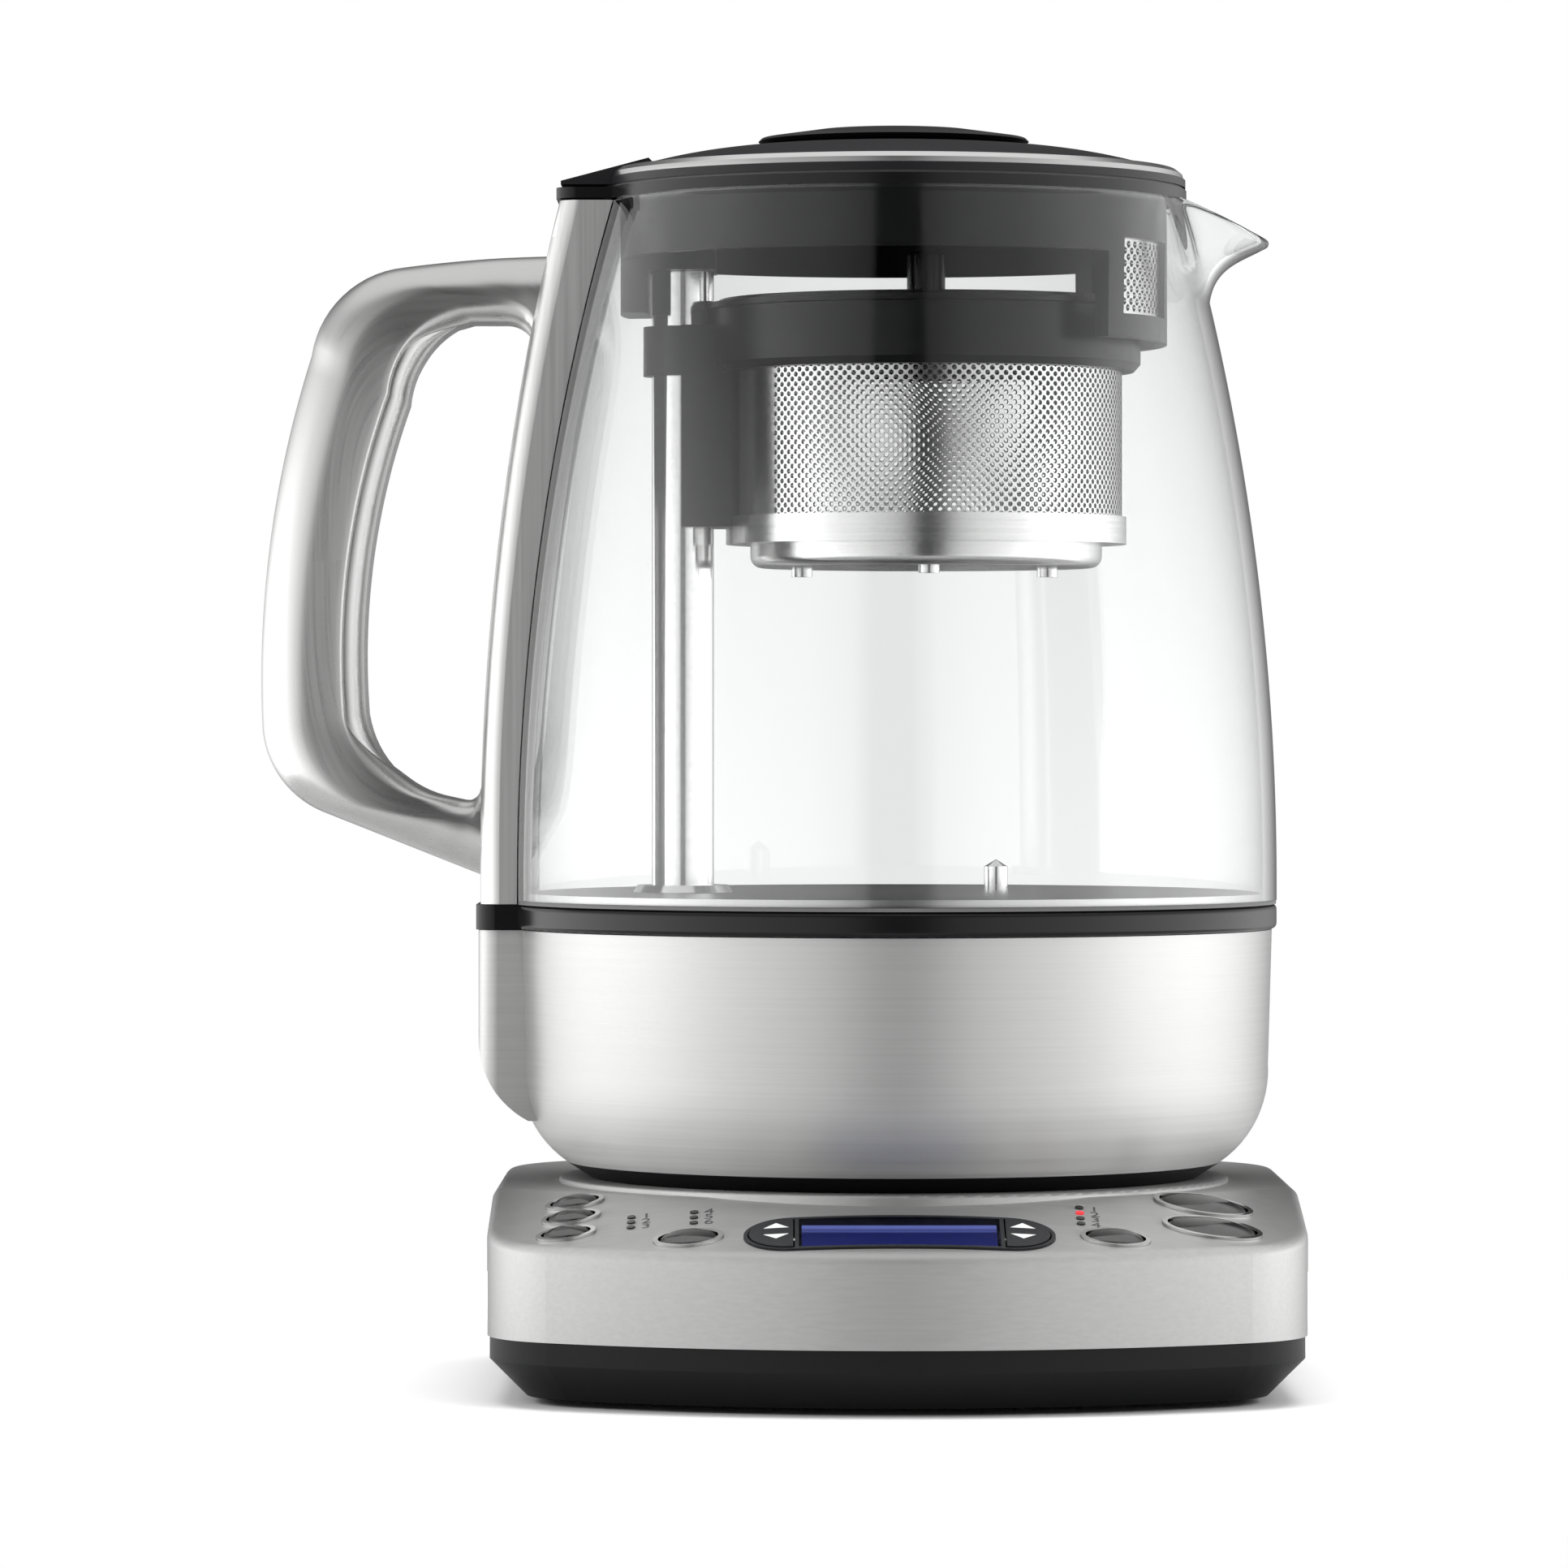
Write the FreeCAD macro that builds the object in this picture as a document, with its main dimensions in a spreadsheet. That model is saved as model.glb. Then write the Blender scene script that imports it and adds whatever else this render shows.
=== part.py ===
import FreeCAD, Part
import math
import os

import Sketcher

# Automatic tea maker: a glass kettle with a motor driven tea basket, standing on a powered base.
# Millimetres, +Z up. The origin lies on the table under the jug's axis. The handle points to -X,
# the spout to +X, and the control panel faces -Y.

doc = FreeCAD.newDocument("tea_maker")
sheet = doc.addObject("Spreadsheet::Sheet", "Sizes")
sizes_written = []
kept = []


class Dim:
    """A length that carries its number together with the sheet expression behind it."""

    def __init__(self, number, text):
        self.number = float(number)
        self.text = text

    def __add__(self, other):
        other = as_dim(other)
        return Dim(self.number + other.number, "(%s + %s)" % (self.text, other.text))

    def __sub__(self, other):
        other = as_dim(other)
        return Dim(self.number - other.number, "(%s - %s)" % (self.text, other.text))

    def __mul__(self, other):
        other = as_dim(other)
        return Dim(self.number * other.number, "(%s * %s)" % (self.text, other.text))

    def __truediv__(self, other):
        other = as_dim(other)
        return Dim(self.number / other.number, "(%s / %s)" % (self.text, other.text))

    def __neg__(self):
        return as_dim(0.0) - self

    def __radd__(self, other):
        return as_dim(other) + self

    def __rsub__(self, other):
        return as_dim(other) - self

    def __rmul__(self, other):
        return as_dim(other) * self


def as_dim(value):
    """A plain number as a Dim."""
    return value if isinstance(value, Dim) else Dim(value, "(%r)" % float(value))


def root(value):
    """Square root of a Dim."""
    return Dim(math.sqrt(value.number), "sqrt(%s)" % value.text)


def size(alias, number, note):
    """Write one driving size into the sheet and hand it back as a Dim."""
    row = len(sizes_written) + 1
    sizes_written.append(alias)
    sheet.set("A%d" % row, note)
    sheet.set("B%d" % row, str(number))
    sheet.setAlias("B%d" % row, alias)
    return Dim(number, "Sizes.%s" % alias)


# ---------------------------------------------------------------- driving sizes

# power base
base_half_width = size("base_half_width", 83.0, "power base, centre to side")
base_back = size("base_back", 84.0, "power base, jug axis to back face")
bow_radius = size("bow_radius", 135.6, "radius of the bowed front")
base_front = size("base_front", 98.0, "power base, jug axis to the middle of its bowed front")
bow_centre = bow_radius - base_front
front_corner = size("front_corner", 26.0, "front corner radius in plan")
back_corner = size("back_corner", 38.0, "back corner radius in plan")
tray_bottom = size("tray_bottom", 1.5, "underside of the lower tray")
tray_inset = size("tray_inset", 0.5, "shadow line between tray and cover")
tray_chamfer = size("tray_chamfer", 7.5, "chamfer round the tray's underside")
tray_wall = size("tray_wall", 3.0, "tray wall and floor")
cover_bottom = tray_bottom + size(
    "cover_bottom_from_tray_bottom", 12.1, "lower edge of the steel cover, from tray bottom")
band_top = cover_bottom + size(
    "band_top_from_cover_bottom", 18.9, "upper edge of the cover's front band, from cover bottom")
panel_slope = size("panel_slope", 0.28, "rise of the panel per length towards the jug")
cover_top = band_top + size("cover_top_from_band_top", 9.0, "flat top of the cover, from band top")
cover_wall = size("cover_wall", 1.2, "steel sheet of the cover")
cover_round = size("cover_round", 2.4, "rounding of the cover's upper edge")
seat_radius = size("seat_radius", 70.0, "raised round seat of the jug")
seat_top = cover_top + size("seat_top_from_cover_top", 1.0, "top of the raised seat, from cover top")
seat_round = size("seat_round", 0.6, "rounding of the seat's edge")
housing_gap = size("housing_gap", 0.1, "cover to inner housing")
housing_wall = size("housing_wall", 2.0, "wall of the inner housing")
foot_radius = size("foot_radius", 8.0, "rubber foot")
foot_sink = size("foot_sink", 1.0, "depth of the foot's recess in the tray")
foot_out = base_half_width - size(
    "foot_out_from_base_half_width", 27.0, "rubber feet, centre to foot along X, from base half width")
foot_front = base_front - size(
    "foot_front_from_base_front", 46.0, "front feet before the jug axis, from base front")
foot_rear = base_back - size(
    "foot_rear_from_base_back", 30.0, "rear feet behind the jug axis, from base back")
screw_radius = size("screw_radius", 1.5, "base screw shank")
screw_head = size("screw_head", 2.9, "base screw head radius")
screw_out = base_half_width - size(
    "screw_out_from_base_half_width", 21.0, "base screws, centre to screw along X, from base half width")
screw_front = base_front - size(
    "screw_front_from_base_front", 68.0, "front base screws before the jug axis, from base front")
screw_rear = base_back - size(
    "screw_rear_from_base_back", 18.0, "rear base screws behind the jug axis, from base back")
screw_boss = size("screw_boss", 4.5, "radius of the screw bosses")
gland_radius = size("gland_radius", 6.5, "cord gland body")
gland_flange = size("gland_flange", 8.5, "cord gland flange radius")
gland_bore = size("gland_bore", 3.6, "cord gland bore radius")
gland_height = cover_bottom + size(
    "gland_height_from_cover_bottom", 10.4, "height of the cord gland, from cover bottom")

# control panel
bezel_rim = size("bezel_rim", 1.0, "width of a chrome bezel")
bezel_proud = size("bezel_proud", 0.5, "bezel above the panel")
bezel_depth = size("bezel_depth", 3.0, "bezel below the panel")
button_gap = size("button_gap", 0.25, "button to bezel")
button_proud = size("button_proud", 1.5, "button above the panel")
button_depth = size("button_depth", 4.5, "button below the panel")
button_dome = size("button_dome", 1.1, "rounding of the button's top")
button_travel = size("button_travel", 0.8, "push of a button")
board_bottom = cover_bottom + size(
    "board_bottom_from_cover_bottom", 2.4, "underside of the control board, from cover bottom")
board_thick = size("board_thick", 1.6, "circuit board thickness")
board_front = base_front - size(
    "board_front_from_base_front", 54.0,
    "rear edge of the control board before the jug axis, from base front")
board_inset = size("board_inset", 7.0, "control board to the outline of the base")
switch_half = size("switch_half", 2.2, "half width of a key switch")
switch_body = size("switch_body", 3.5, "height of a key switch body")
switch_stem = size("switch_stem", 1.5, "radius of a key switch stem")
display_from_axis = base_front - size(
    "display_from_axis_from_base_front", 12.7, "middle of the display before the jug axis, from base front")
display_half = size("display_half", 31.0, "display frame, centre to end")
display_reach = size("display_reach", 9.3, "display frame, half its depth and its end radius")
display_rim = size("display_rim", 0.8, "rim of the display frame")
display_proud = size("display_proud", 0.5, "display frame above the panel")
window_half = size("window_half", 20.0, "display window, centre to side")
window_reach = size("window_reach", 8.2, "display window, half its depth")
lens_thick = size("lens_thick", 1.2, "display lens")
lcd_thick = size("lcd_thick", 2.4, "display module")
rocker_from_centre = size("rocker_from_centre", 25.6, "middle of a rocker beside the display centre")
rocker_gap = size("rocker_gap", 0.3, "rocker to frame")
rocker_thick = size("rocker_thick", 3.0, "rocker thickness")
rocker_proud = size("rocker_proud", 0.7, "rocker above the panel")
rocker_pin = size("rocker_pin", 0.7, "rocker pin radius")
rocker_pin_depth = size("rocker_pin_depth", 1.3, "rocker pin below the panel")
running_fit = size("running_fit", 0.05, "radial clearance of a pin in its bore")
lamp_radius = size("lamp_radius", 0.85, "indicator lamp")
lamp_proud = size("lamp_proud", 0.3, "indicator lamp above the panel")

# connector
boss_radius = size("boss_radius", 16.0, "connector boss")
boss_top = seat_top + size("boss_top_from_seat_top", 11.5, "top of the connector boss, from seat top")
boss_neck = size("boss_neck", 19.3, "neck of the connector boss")
boss_flange = size("boss_flange", 26.0, "flange of the connector boss")
slot_inner = size("slot_inner", 9.6, "annular contact slot, inner radius")
slot_outer = size("slot_outer", 12.2, "annular contact slot, outer radius")
contact_wall = size("contact_wall", 0.5, "contact ring wall")
pin_radius = size("pin_radius", 2.2, "centre contact pin")
pin_well = size("pin_well", 4.6, "well around the centre pin")
socket_gap = size("socket_gap", 0.4, "jug socket to connector boss")
socket_wall = size("socket_wall", 4.2, "wall of the jug socket")

# jug
collar_radius = size("collar_radius", 80.1, "black collar ring and glass foot")
jug_gap = size("jug_gap", 0.1, "jug foot above the seat at rest")
shell_top_radius = collar_radius - size(
    "shell_top_radius_from_collar_radius", 1.0, "steel base shell, radius at its top, from collar radius")
shell_knee = shell_top_radius - size(
    "shell_knee_from_shell_top_radius", 0.8,
    "steel base shell, radius above the corner, from shell top radius")
shell_foot = shell_knee - size(
    "shell_foot_from_shell_knee", 9.8, "steel base shell, radius at its lower edge, from shell knee")
foot_flat = shell_foot - size(
    "foot_flat_from_shell_foot", 5.0, "jug foot, radius of its flat underside, from shell foot")
shell_low = seat_top + size("shell_low_from_seat_top", 3.3, "steel base shell, lower edge, from seat top")
shell_corner = size("shell_corner", 23.0, "steel base shell, radius of its lower corner")
shell_knee_height = shell_low + size(
    "shell_knee_height_from_shell_low", 20.2, "steel base shell, height above the corner, from shell low")
shell_wall = size("shell_wall", 1.0, "steel base shell, wall")
bulge_bend = size("bulge_bend", 19.5, "radius of the bulge's lower bend")
bulge_bend_top = shell_low + size(
    "bulge_bend_top_from_shell_low", 26.2, "height at which the bulge starts to bend in, from shell low")
bulge_reach = collar_radius + size(
    "bulge_reach_from_collar_radius", 6.3, "jug axis to the bulge under the column, from collar radius")
bulge_foot = bulge_reach - size(
    "bulge_foot_from_bulge_reach", 10.4, "jug axis to the foot of the bulge, from bulge reach")
collar_low = shell_low + size(
    "collar_low_from_shell_low", 48.6, "black collar ring, underside, from shell low")
collar_high = collar_low + size(
    "collar_high_from_collar_low", 5.2, "black collar ring, top, from collar low")
collar_bore = collar_radius - size(
    "collar_bore_from_collar_radius", 7.1, "black collar ring, bore, from collar radius")
collar_round = size("collar_round", 1.2, "rounding of the collar ring")
seal_thick = size("seal_thick", 0.8, "gasket under the glass and the plate")
glass_low = collar_high + seal_thick
glass_top = glass_low + size("glass_top_from_glass_low", 145.6, "top of the glass, from glass low")
glass_mouth = collar_radius - size(
    "glass_lean", 19.4, "how far the glass leans in from its foot to its top")
glass_tangent = glass_low + size("glass_straight", 3.6, "upright foot of the glass")
glass_wall = size("glass_wall", 2.8, "glass wall")
plate_gap = size("plate_gap", 0.3, "heating plate to glass")
plate_thick = size("plate_thick", 1.5, "heating plate")
heater_ring_radius = collar_radius - size(
    "heater_ring_radius_from_collar_radius", 20.1, "heating element, ring radius, from collar radius")
heater_tube = size("heater_tube", 4.2, "heating element, tube radius")
probe_radius = size("probe_radius", 2.5, "temperature probe")
column_half = size("column_half", 17.5, "handle column, half its width")
column_reach = collar_radius + size(
    "column_reach_from_collar_radius", 5.9,
    "jug axis to the outside of the column at its foot, from collar radius")
column_head = glass_mouth + size("column_depth", 8.8, "glass to the outside of the column at its top")
column_low = collar_high + size("column_clear", 0.1, "column above the collar ring")
column_tangent = column_low + size("column_straight", 10.3, "upright foot of the column")
column_top = glass_top - size("column_top_from_glass_top", 0.4, "top of the column, from glass top")
column_wall = size("column_wall", 1.2, "steel of the column")
column_round = size("column_round", 4.0, "rounding of the column's outer edges")
column_gap = size("column_gap", 0.15, "column to glass")
rim_top = glass_top + size("rim_top_from_glass_top", 2.3, "top of the jug's rim ring, from glass top")
rim_radius = glass_mouth + size(
    "rim_radius_from_glass_mouth", 0.5, "outside of the rim ring, from glass mouth")
rim_bore = rim_radius - size("rim_bore_from_rim_radius", 3.6, "opening of the jug, from rim radius")
tongue_reach = column_head + size(
    "tongue_reach_from_column_head", 0.7, "jug axis to the end of the rim ring's tongue, from column head")

# handle
handle_half = size("handle_half", 13.0, "handle, half its width")
handle_round = size("handle_round", 8.0, "rounding of the handle's outer edges")
liner_half = size("liner_half", 10.5, "handle liner, half its width")
liner_thick = size("liner_thick", 4.2, "handle liner thickness")
handle_screw = size("handle_screw", 2.0, "handle screw radius")
screw_grip = size("screw_grip", 12.0, "handle screw in the handle")
screw_hold = size("screw_hold", 3.0, "handle screw in the column")
handle_screw_high = glass_top - size(
    "handle_screw_high_from_glass_top", 18.0, "height of the upper handle screw, from glass top")
handle_screw_low = collar_high + size(
    "handle_screw_low_from_collar_high", 13.4, "height of the lower handle screw, from collar high")

# handle corners: outward from the column's foot, above it, and the radius of the arc that ends there
handle_table = (
    ("outer", ((-20.0, 135.0), (16.2, 132.7, -270.0), (35.6, 114.2, -21.7), (45.9, 36.0, -221.4),
               (33.3, 19.0, -20.6), (-6.0, 3.4))),
    ("inner", ((-6.0, 19.3), (8.2, 22.4), (24.0, 39.4, 21.6), (15.3, 104.0, 155.0), (1.9, 121.0, 19.4),
               (-20.0, 121.0))),
)
handle_lines = {}
for name, corners in handle_table:
    handle_lines[name] = []
    for index, corner in enumerate(corners):
        label = "handle_%s_%d_" % (name, index)
        spot = (-column_reach - size(label + "x", corner[0], "handle corner, outward from the column's foot"),
                column_low + size(label + "z", corner[1], "handle corner, above the column's foot"))
        bend = tuple(size(label + "bend", bend, "handle arc") for bend in corner[2:])
        handle_lines[name].append(spot + bend)

# post and drive
post_from_axis = size("post_from_axis", 44.15, "jug axis to guide post")
post_radius = size("post_radius", 6.5, "guide post")
post_wall = size("post_wall", 0.7, "guide post wall")
post_low = collar_low - size(
    "post_low_from_collar_low", 4.4, "lower end of the guide post, from collar low")
post_high = rim_top - size("post_high_from_rim_top", 13.3, "top of the guide post, from rim top")
post_foot_radius = size("post_foot_radius", 10.5, "flange at the foot of the post")
post_foot_thick = size("post_foot_thick", 1.5, "flange thickness")
motor_radius = size("motor_radius", 11.0, "lift motor")
motor_length = size("motor_length", 32.0, "lift motor with its gearbox")
spindle_radius = size("spindle_radius", 2.5, "lead screw")
carrier_length = size("carrier_length", 28.0, "magnet carriage on the lead screw")
carrier_gap = size("carrier_gap", 0.3, "magnet carriage to the post's inside")

# basket
basket_offset = size("basket_offset", 6.8, "basket axis beside the jug axis")
basket_radius = size("basket_radius", 41.0, "outside of the basket's perforated wall")
basket_wall = size("basket_wall", 0.6, "perforated steel sheet")
basket_low = rim_top - size(
    "basket_low_from_rim_top", 70.3, "lower edge of the perforated wall, from rim top")
basket_high = rim_top - size(
    "basket_high_from_rim_top", 33.8, "upper edge of the perforated wall, from rim top")
basket_collar_low = rim_top - size(
    "basket_collar_low_from_rim_top", 37.8, "underside of the basket collar, from rim top")
basket_collar_top = rim_top - size(
    "basket_collar_top_from_rim_top", 23.7, "top of the basket collar, from rim top")
basket_collar_bore = basket_radius + size(
    "basket_collar_bore_from_basket_radius", 1.6, "inside of the basket collar, from basket radius")
basket_collar_radius = basket_radius + size(
    "basket_collar_radius_from_basket_radius", 3.9, "basket collar, from basket radius")
basket_lip = basket_collar_radius + size(
    "basket_lip_from_basket_collar_radius", 0.9, "lip of the basket collar, from basket collar radius")
basket_fit = size("basket_fit", 0.05, "perforated wall to its collar and floor")
cup_radius = basket_radius - size(
    "cup_radius_from_basket_radius", 4.2, "cup under the basket, from basket radius")
cup_low = basket_low - size("cup_low_from_basket_low", 8.4, "underside of the cup, from basket low")
cup_wall = size("cup_wall", 1.2, "wall of the cup")
cup_round = size("cup_round", 2.4, "rounding of the cup's lower edge")
floor_ring = basket_radius + size(
    "floor_ring_from_basket_radius", 0.9, "ring around the basket's lower edge, from basket radius")
floor_ring_low = basket_low - size(
    "floor_ring_low_from_basket_low", 3.5, "underside of that ring, from basket low")
floor_ring_high = basket_low + size(
    "floor_ring_high_from_basket_low", 2.2, "top of that ring, from basket low")
stud_radius = size("stud_radius", 2.2, "stud under the cup")
stud_height = size("stud_height", 1.6, "height of a stud")
stud_circle = cup_radius - size(
    "stud_circle_from_cup_radius", 6.8, "pitch circle radius of the studs, from cup radius")
carriage_radius = size("carriage_radius", 8.3, "sleeve of the basket's carriage")
carriage_gap = size("carriage_gap", 0.35, "carriage to guide post")
carriage_low = rim_top - size(
    "carriage_low_from_rim_top", 70.3, "lower end of the carriage's web, from rim top")
carriage_step = rim_top - size(
    "carriage_step_from_rim_top", 38.7, "lower end of the carriage's sleeve, from rim top")
carriage_high = rim_top - size("carriage_high_from_rim_top", 28.4, "top of the carriage, from rim top")
carriage_half = size("carriage_half", 11.0, "half width of the carriage's web")
magnet_length = size("magnet_length", 20.0, "magnet")
magnet_thick = size("magnet_thick", 2.2, "magnet")
magnet_width = size("magnet_width", 6.0, "magnet")
cap_thick = size("cap_thick", 1.6, "basket lid")
cap_radius = basket_collar_bore + size(
    "cap_radius_from_basket_collar_bore", 0.7, "basket lid radius, from basket collar bore")
cap_plug = basket_collar_bore - size(
    "cap_plug_from_basket_collar_bore", 0.4, "plug of the basket lid, from basket collar bore")
cap_stem = size("cap_stem", 4.0, "stem of the basket lid")
cap_stem_top = basket_collar_top + size(
    "cap_stem_top_from_basket_collar_top", 11.1, "top of the stem, from basket collar top")

# jug lid
lid_seal_thick = size("lid_seal_thick", 0.5, "gasket between rim ring and lid")
lid_radius = rim_radius - size("lid_radius_from_rim_radius", 0.2, "lid rim, from rim radius")
lid_rim_top = rim_top + size("lid_rim_top_from_rim_top", 2.2, "top of the lid rim, from rim top")
trim_outer = lid_radius - size(
    "trim_outer_from_lid_radius", 0.3, "outside of the steel trim ring, from lid radius")
trim_inner = trim_outer - size(
    "trim_inner_from_trim_outer", 3.7, "inside of the steel trim ring, from trim outer")
trim_top = rim_top + size("trim_top_from_rim_top", 4.5, "top of the steel trim ring, from rim top")
dome_edge = rim_top + size("dome_edge_from_rim_top", 4.1, "dome's height at its edge, from rim top")
dome_arc = size("dome_arc", 109.5, "radius of the dome's profile")
dome_top = rim_top + size("dome_top_from_rim_top", 9.0, "flat top of the dome, from rim top")
dome_flat = size("dome_flat", 19.0, "radius of the dome's flat top")
dome_wall = size("dome_wall", 2.0, "wall of the dome")
knob_radius = size("knob_radius", 28.3, "lid grip")
knob_neck = size("knob_neck", 18.0, "neck of the lid grip")
knob_top = dome_top + size("knob_top_from_dome_top", 4.0, "top of the lid grip, from dome top")
knob_edge = knob_top - size("knob_edge_from_knob_top", 1.9, "top of the grip's edge, from knob top")
skirt_radius = rim_bore - size("skirt_radius_from_rim_bore", 0.4, "lid skirt, from rim bore")
skirt_wall = size("skirt_wall", 2.0, "lid skirt wall")
skirt_low = rim_top - size("skirt_low_from_rim_top", 14.8, "lower edge of the lid skirt, from rim top")
keeper_low = rim_top - size(
    "keeper_low_from_rim_top", 16.9, "underside of the block that holds the post's tip, from rim top")
keeper_tongue_low = rim_top - size(
    "keeper_tongue_low_from_rim_top", 25.9, "lower end of that block's tongue behind the post, from rim top")
keeper_near = size("keeper_near", 37.2, "jug axis to the near face of that block")
keeper_half = size("keeper_half", 11.0, "half width of that block")
keeper_gap = size("keeper_gap", 0.5, "block to guide post")
apron_low = rim_top - size(
    "apron_low_from_rim_top", 32.3, "lower edge of the apron before the spout, from rim top")
apron_half = size("apron_half", 38.0, "half width of the apron")
filter_low = rim_top - size("filter_low_from_rim_top", 27.3, "lower edge of a filter window, from rim top")
filter_high = rim_top - size(
    "filter_high_from_rim_top", 11.8, "upper edge of a filter window, from rim top")
filter_near = size("filter_near", 13.0, "filter window, near side from the middle")
filter_far = size("filter_far", 34.0, "filter window, far side from the middle")
filter_sheet = size("filter_sheet", 0.5, "perforated filter sheet")


# buttons: side of the axis, in from the base's side, behind the bowed edge, half length, half depth
button_table = (
    ("auto_start_button", -1, 17.6, 25.9, 4.8, 3.1),
    ("keep_warm_button", -1, 17.1, 17.4, 4.8, 3.1),
    ("basket_button", -1, 16.4, 8.2, 4.8, 3.1),
    ("tea_type_button", -1, 41.0, 7.9, 5.8, 3.9),
    ("strength_button", 1, 40.0, 8.0, 5.8, 3.9),
    ("hot_water_button", 1, 21.0, 25.0, 8.9, 5.4),
    ("brew_button", 1, 20.0, 11.8, 8.9, 5.4),
)
button_places = []
for name, side, inset, setback, half_long, half_short in button_table:
    beside = side * (base_half_width - size(name + "_inset", inset, name + ", in from the base's side"))
    inward = bow_radius - size(name + "_setback", setback, name + ", behind the bowed edge")
    button_places.append((name, beside, root(inward * inward - beside * beside) - bow_centre,
                          size(name + "_half_length", half_long, name + ", half length"),
                          size(name + "_half_depth", half_short, name + ", half depth")))
lamp_left = base_half_width - size("lamp_left_inset", 29.4, "outer lamp column, in from the base's side")
lamp_inner = base_half_width - size("lamp_inner_inset", 42.0, "inner lamp column, in from the base's side")
lamp_right = base_half_width - size("lamp_right_inset", 46.6, "strength lamps, in from the base's side")
lamp_first = base_front - size(
    "lamp_first_from_base_front", 32.0, "first lamp before the axis, from base front")
lamp_pitch = size("lamp_pitch", 3.2, "pitch of the lamps")
lcd_inset = size("lcd_inset", 0.6, "display module inside the window")
rocker_arm = size("rocker_arm", 5.0, "key switch beside the rocker's pin")
switch_gap = size("switch_gap", 1.1, "key switch stem below a rocker")
board_post = size("board_post", 3.0, "radius of the board posts")
board_post_out = size("board_post_out", 58.0, "outer control board posts beside the axis")
board_post_in = size("board_post_in", 20.0, "inner control board posts beside the axis")
board_post_ahead = base_front - size(
    "board_post_ahead_from_base_front", 46.0, "outer control board posts before the axis, from base front")
board_post_front = base_front - size(
    "board_post_front_from_base_front", 18.0, "inner control board posts before the axis, from base front")
power_half = size("power_half", 42.0, "power board, half its width")
power_near = size("power_near", 18.0, "power board, near edge behind the axis")
power_far = base_back - size(
    "power_far_from_base_back", 16.0, "power board, far edge behind the axis, from base back")
power_low = tray_bottom + size(
    "power_low_from_tray_bottom", 8.5, "underside of the power board, from tray bottom")
screw_seat = tray_bottom + size(
    "screw_seat_from_tray_bottom", 4.5, "height of the base screws' heads' seat, from tray bottom")
screw_top = cover_bottom + size(
    "screw_top_from_cover_bottom", 10.4, "tip of the base screws, from cover bottom")
probe_side = size("probe_side", 22.0, "temperature probe beside the axis")
probe_back = size("probe_back", 18.0, "temperature probe behind the axis")
spout_wall = size("spout_wall", 2.0, "spout wall")

# stations of the spout: beyond the glass mouth, half width, underside and upper edge below the glass top
spout_table = (
    ("spout_root", -3.7, 19.0, 21.0, 0.0),
    ("spout_heel", 5.8, 12.5, 18.2, 1.8),
    ("spout_mid", 8.9, 10.0, 14.6, 3.2),
    ("spout_throat", 12.7, 7.0, 12.8, 5.4),
    ("spout_tip", 16.8, 3.8, 12.0, 9.1),
)
spout_stations = [(glass_mouth + size(name + "_reach", reach, name + ", beyond the glass mouth"),
                   size(name + "_half", half, name + ", half width"),
                   glass_top - size(name + "_bottom", bottom, name + ", underside below the glass top"),
                   glass_top - size(name + "_top", top, name + ", upper edge below the glass top"))
                  for name, reach, half, bottom, top in spout_table]


def leaning_arc(foot, head, rise):
    """Radius of an arc that starts upright at the foot and reaches the head after a rise."""
    lean = foot - head
    return (rise * rise + lean * lean) / (2.0 * lean)


glass_arc = leaning_arc(collar_radius, glass_mouth, glass_top - glass_tangent)
column_arc = leaning_arc(column_reach, column_head, column_top - column_tangent)
doc.recompute()


# ---------------------------------------------------------------- building helpers


def bind(thing, prop, value):
    """Bind a property of a document object to the sheet."""
    thing.setExpression(prop, as_dim(value).text)


def place(thing, x=0.0, y=0.0, z=0.0):
    """Bind an object's position to the sheet."""
    for name, value in zip("xyz", (x, y, z)):
        bind(thing, "Placement.Base." + name, value)
    return thing


def keep(thing, label):
    """Name a finished sub-part and list it for export."""
    thing.Label = label
    kept.append(thing)
    return thing


def plane_sketch(body, role, name, lift=None):
    """A sketch on one of the body's own origin planes, lifted along the plane's normal."""
    sketch = body.newObject("Sketcher::SketchObject", name)
    plane = [item for item in body.Origin.OriginFeatures if item.Role == role][0]
    sketch.AttachmentSupport = [(plane, "")]
    sketch.MapMode = "FlatFace"
    if lift is not None:
        bind(sketch, "AttachmentOffset.Base.z", lift)
    return sketch


def arc_through(start, end, radius):
    """Arc from start to end. A positive radius bends left of the chord, a negative one right."""
    chord = end - start
    middle = (start + end) * 0.5
    half = chord.Length * 0.5
    reach = math.sqrt(max(radius * radius - half * half, 0.0))
    side = FreeCAD.Vector(chord.y, -chord.x, 0.0).normalize()
    centre = middle + side * reach if radius > 0 else middle - side * reach
    circle = Part.Circle(centre, FreeCAD.Vector(0, 0, 1), abs(radius))
    angles = [math.atan2(point.y - centre.y, point.x - centre.x) for point in (start, end)]
    if radius > 0:
        angles.reverse()
    return Part.ArcOfCircle(circle, angles[0], angles[1]), radius < 0


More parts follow.
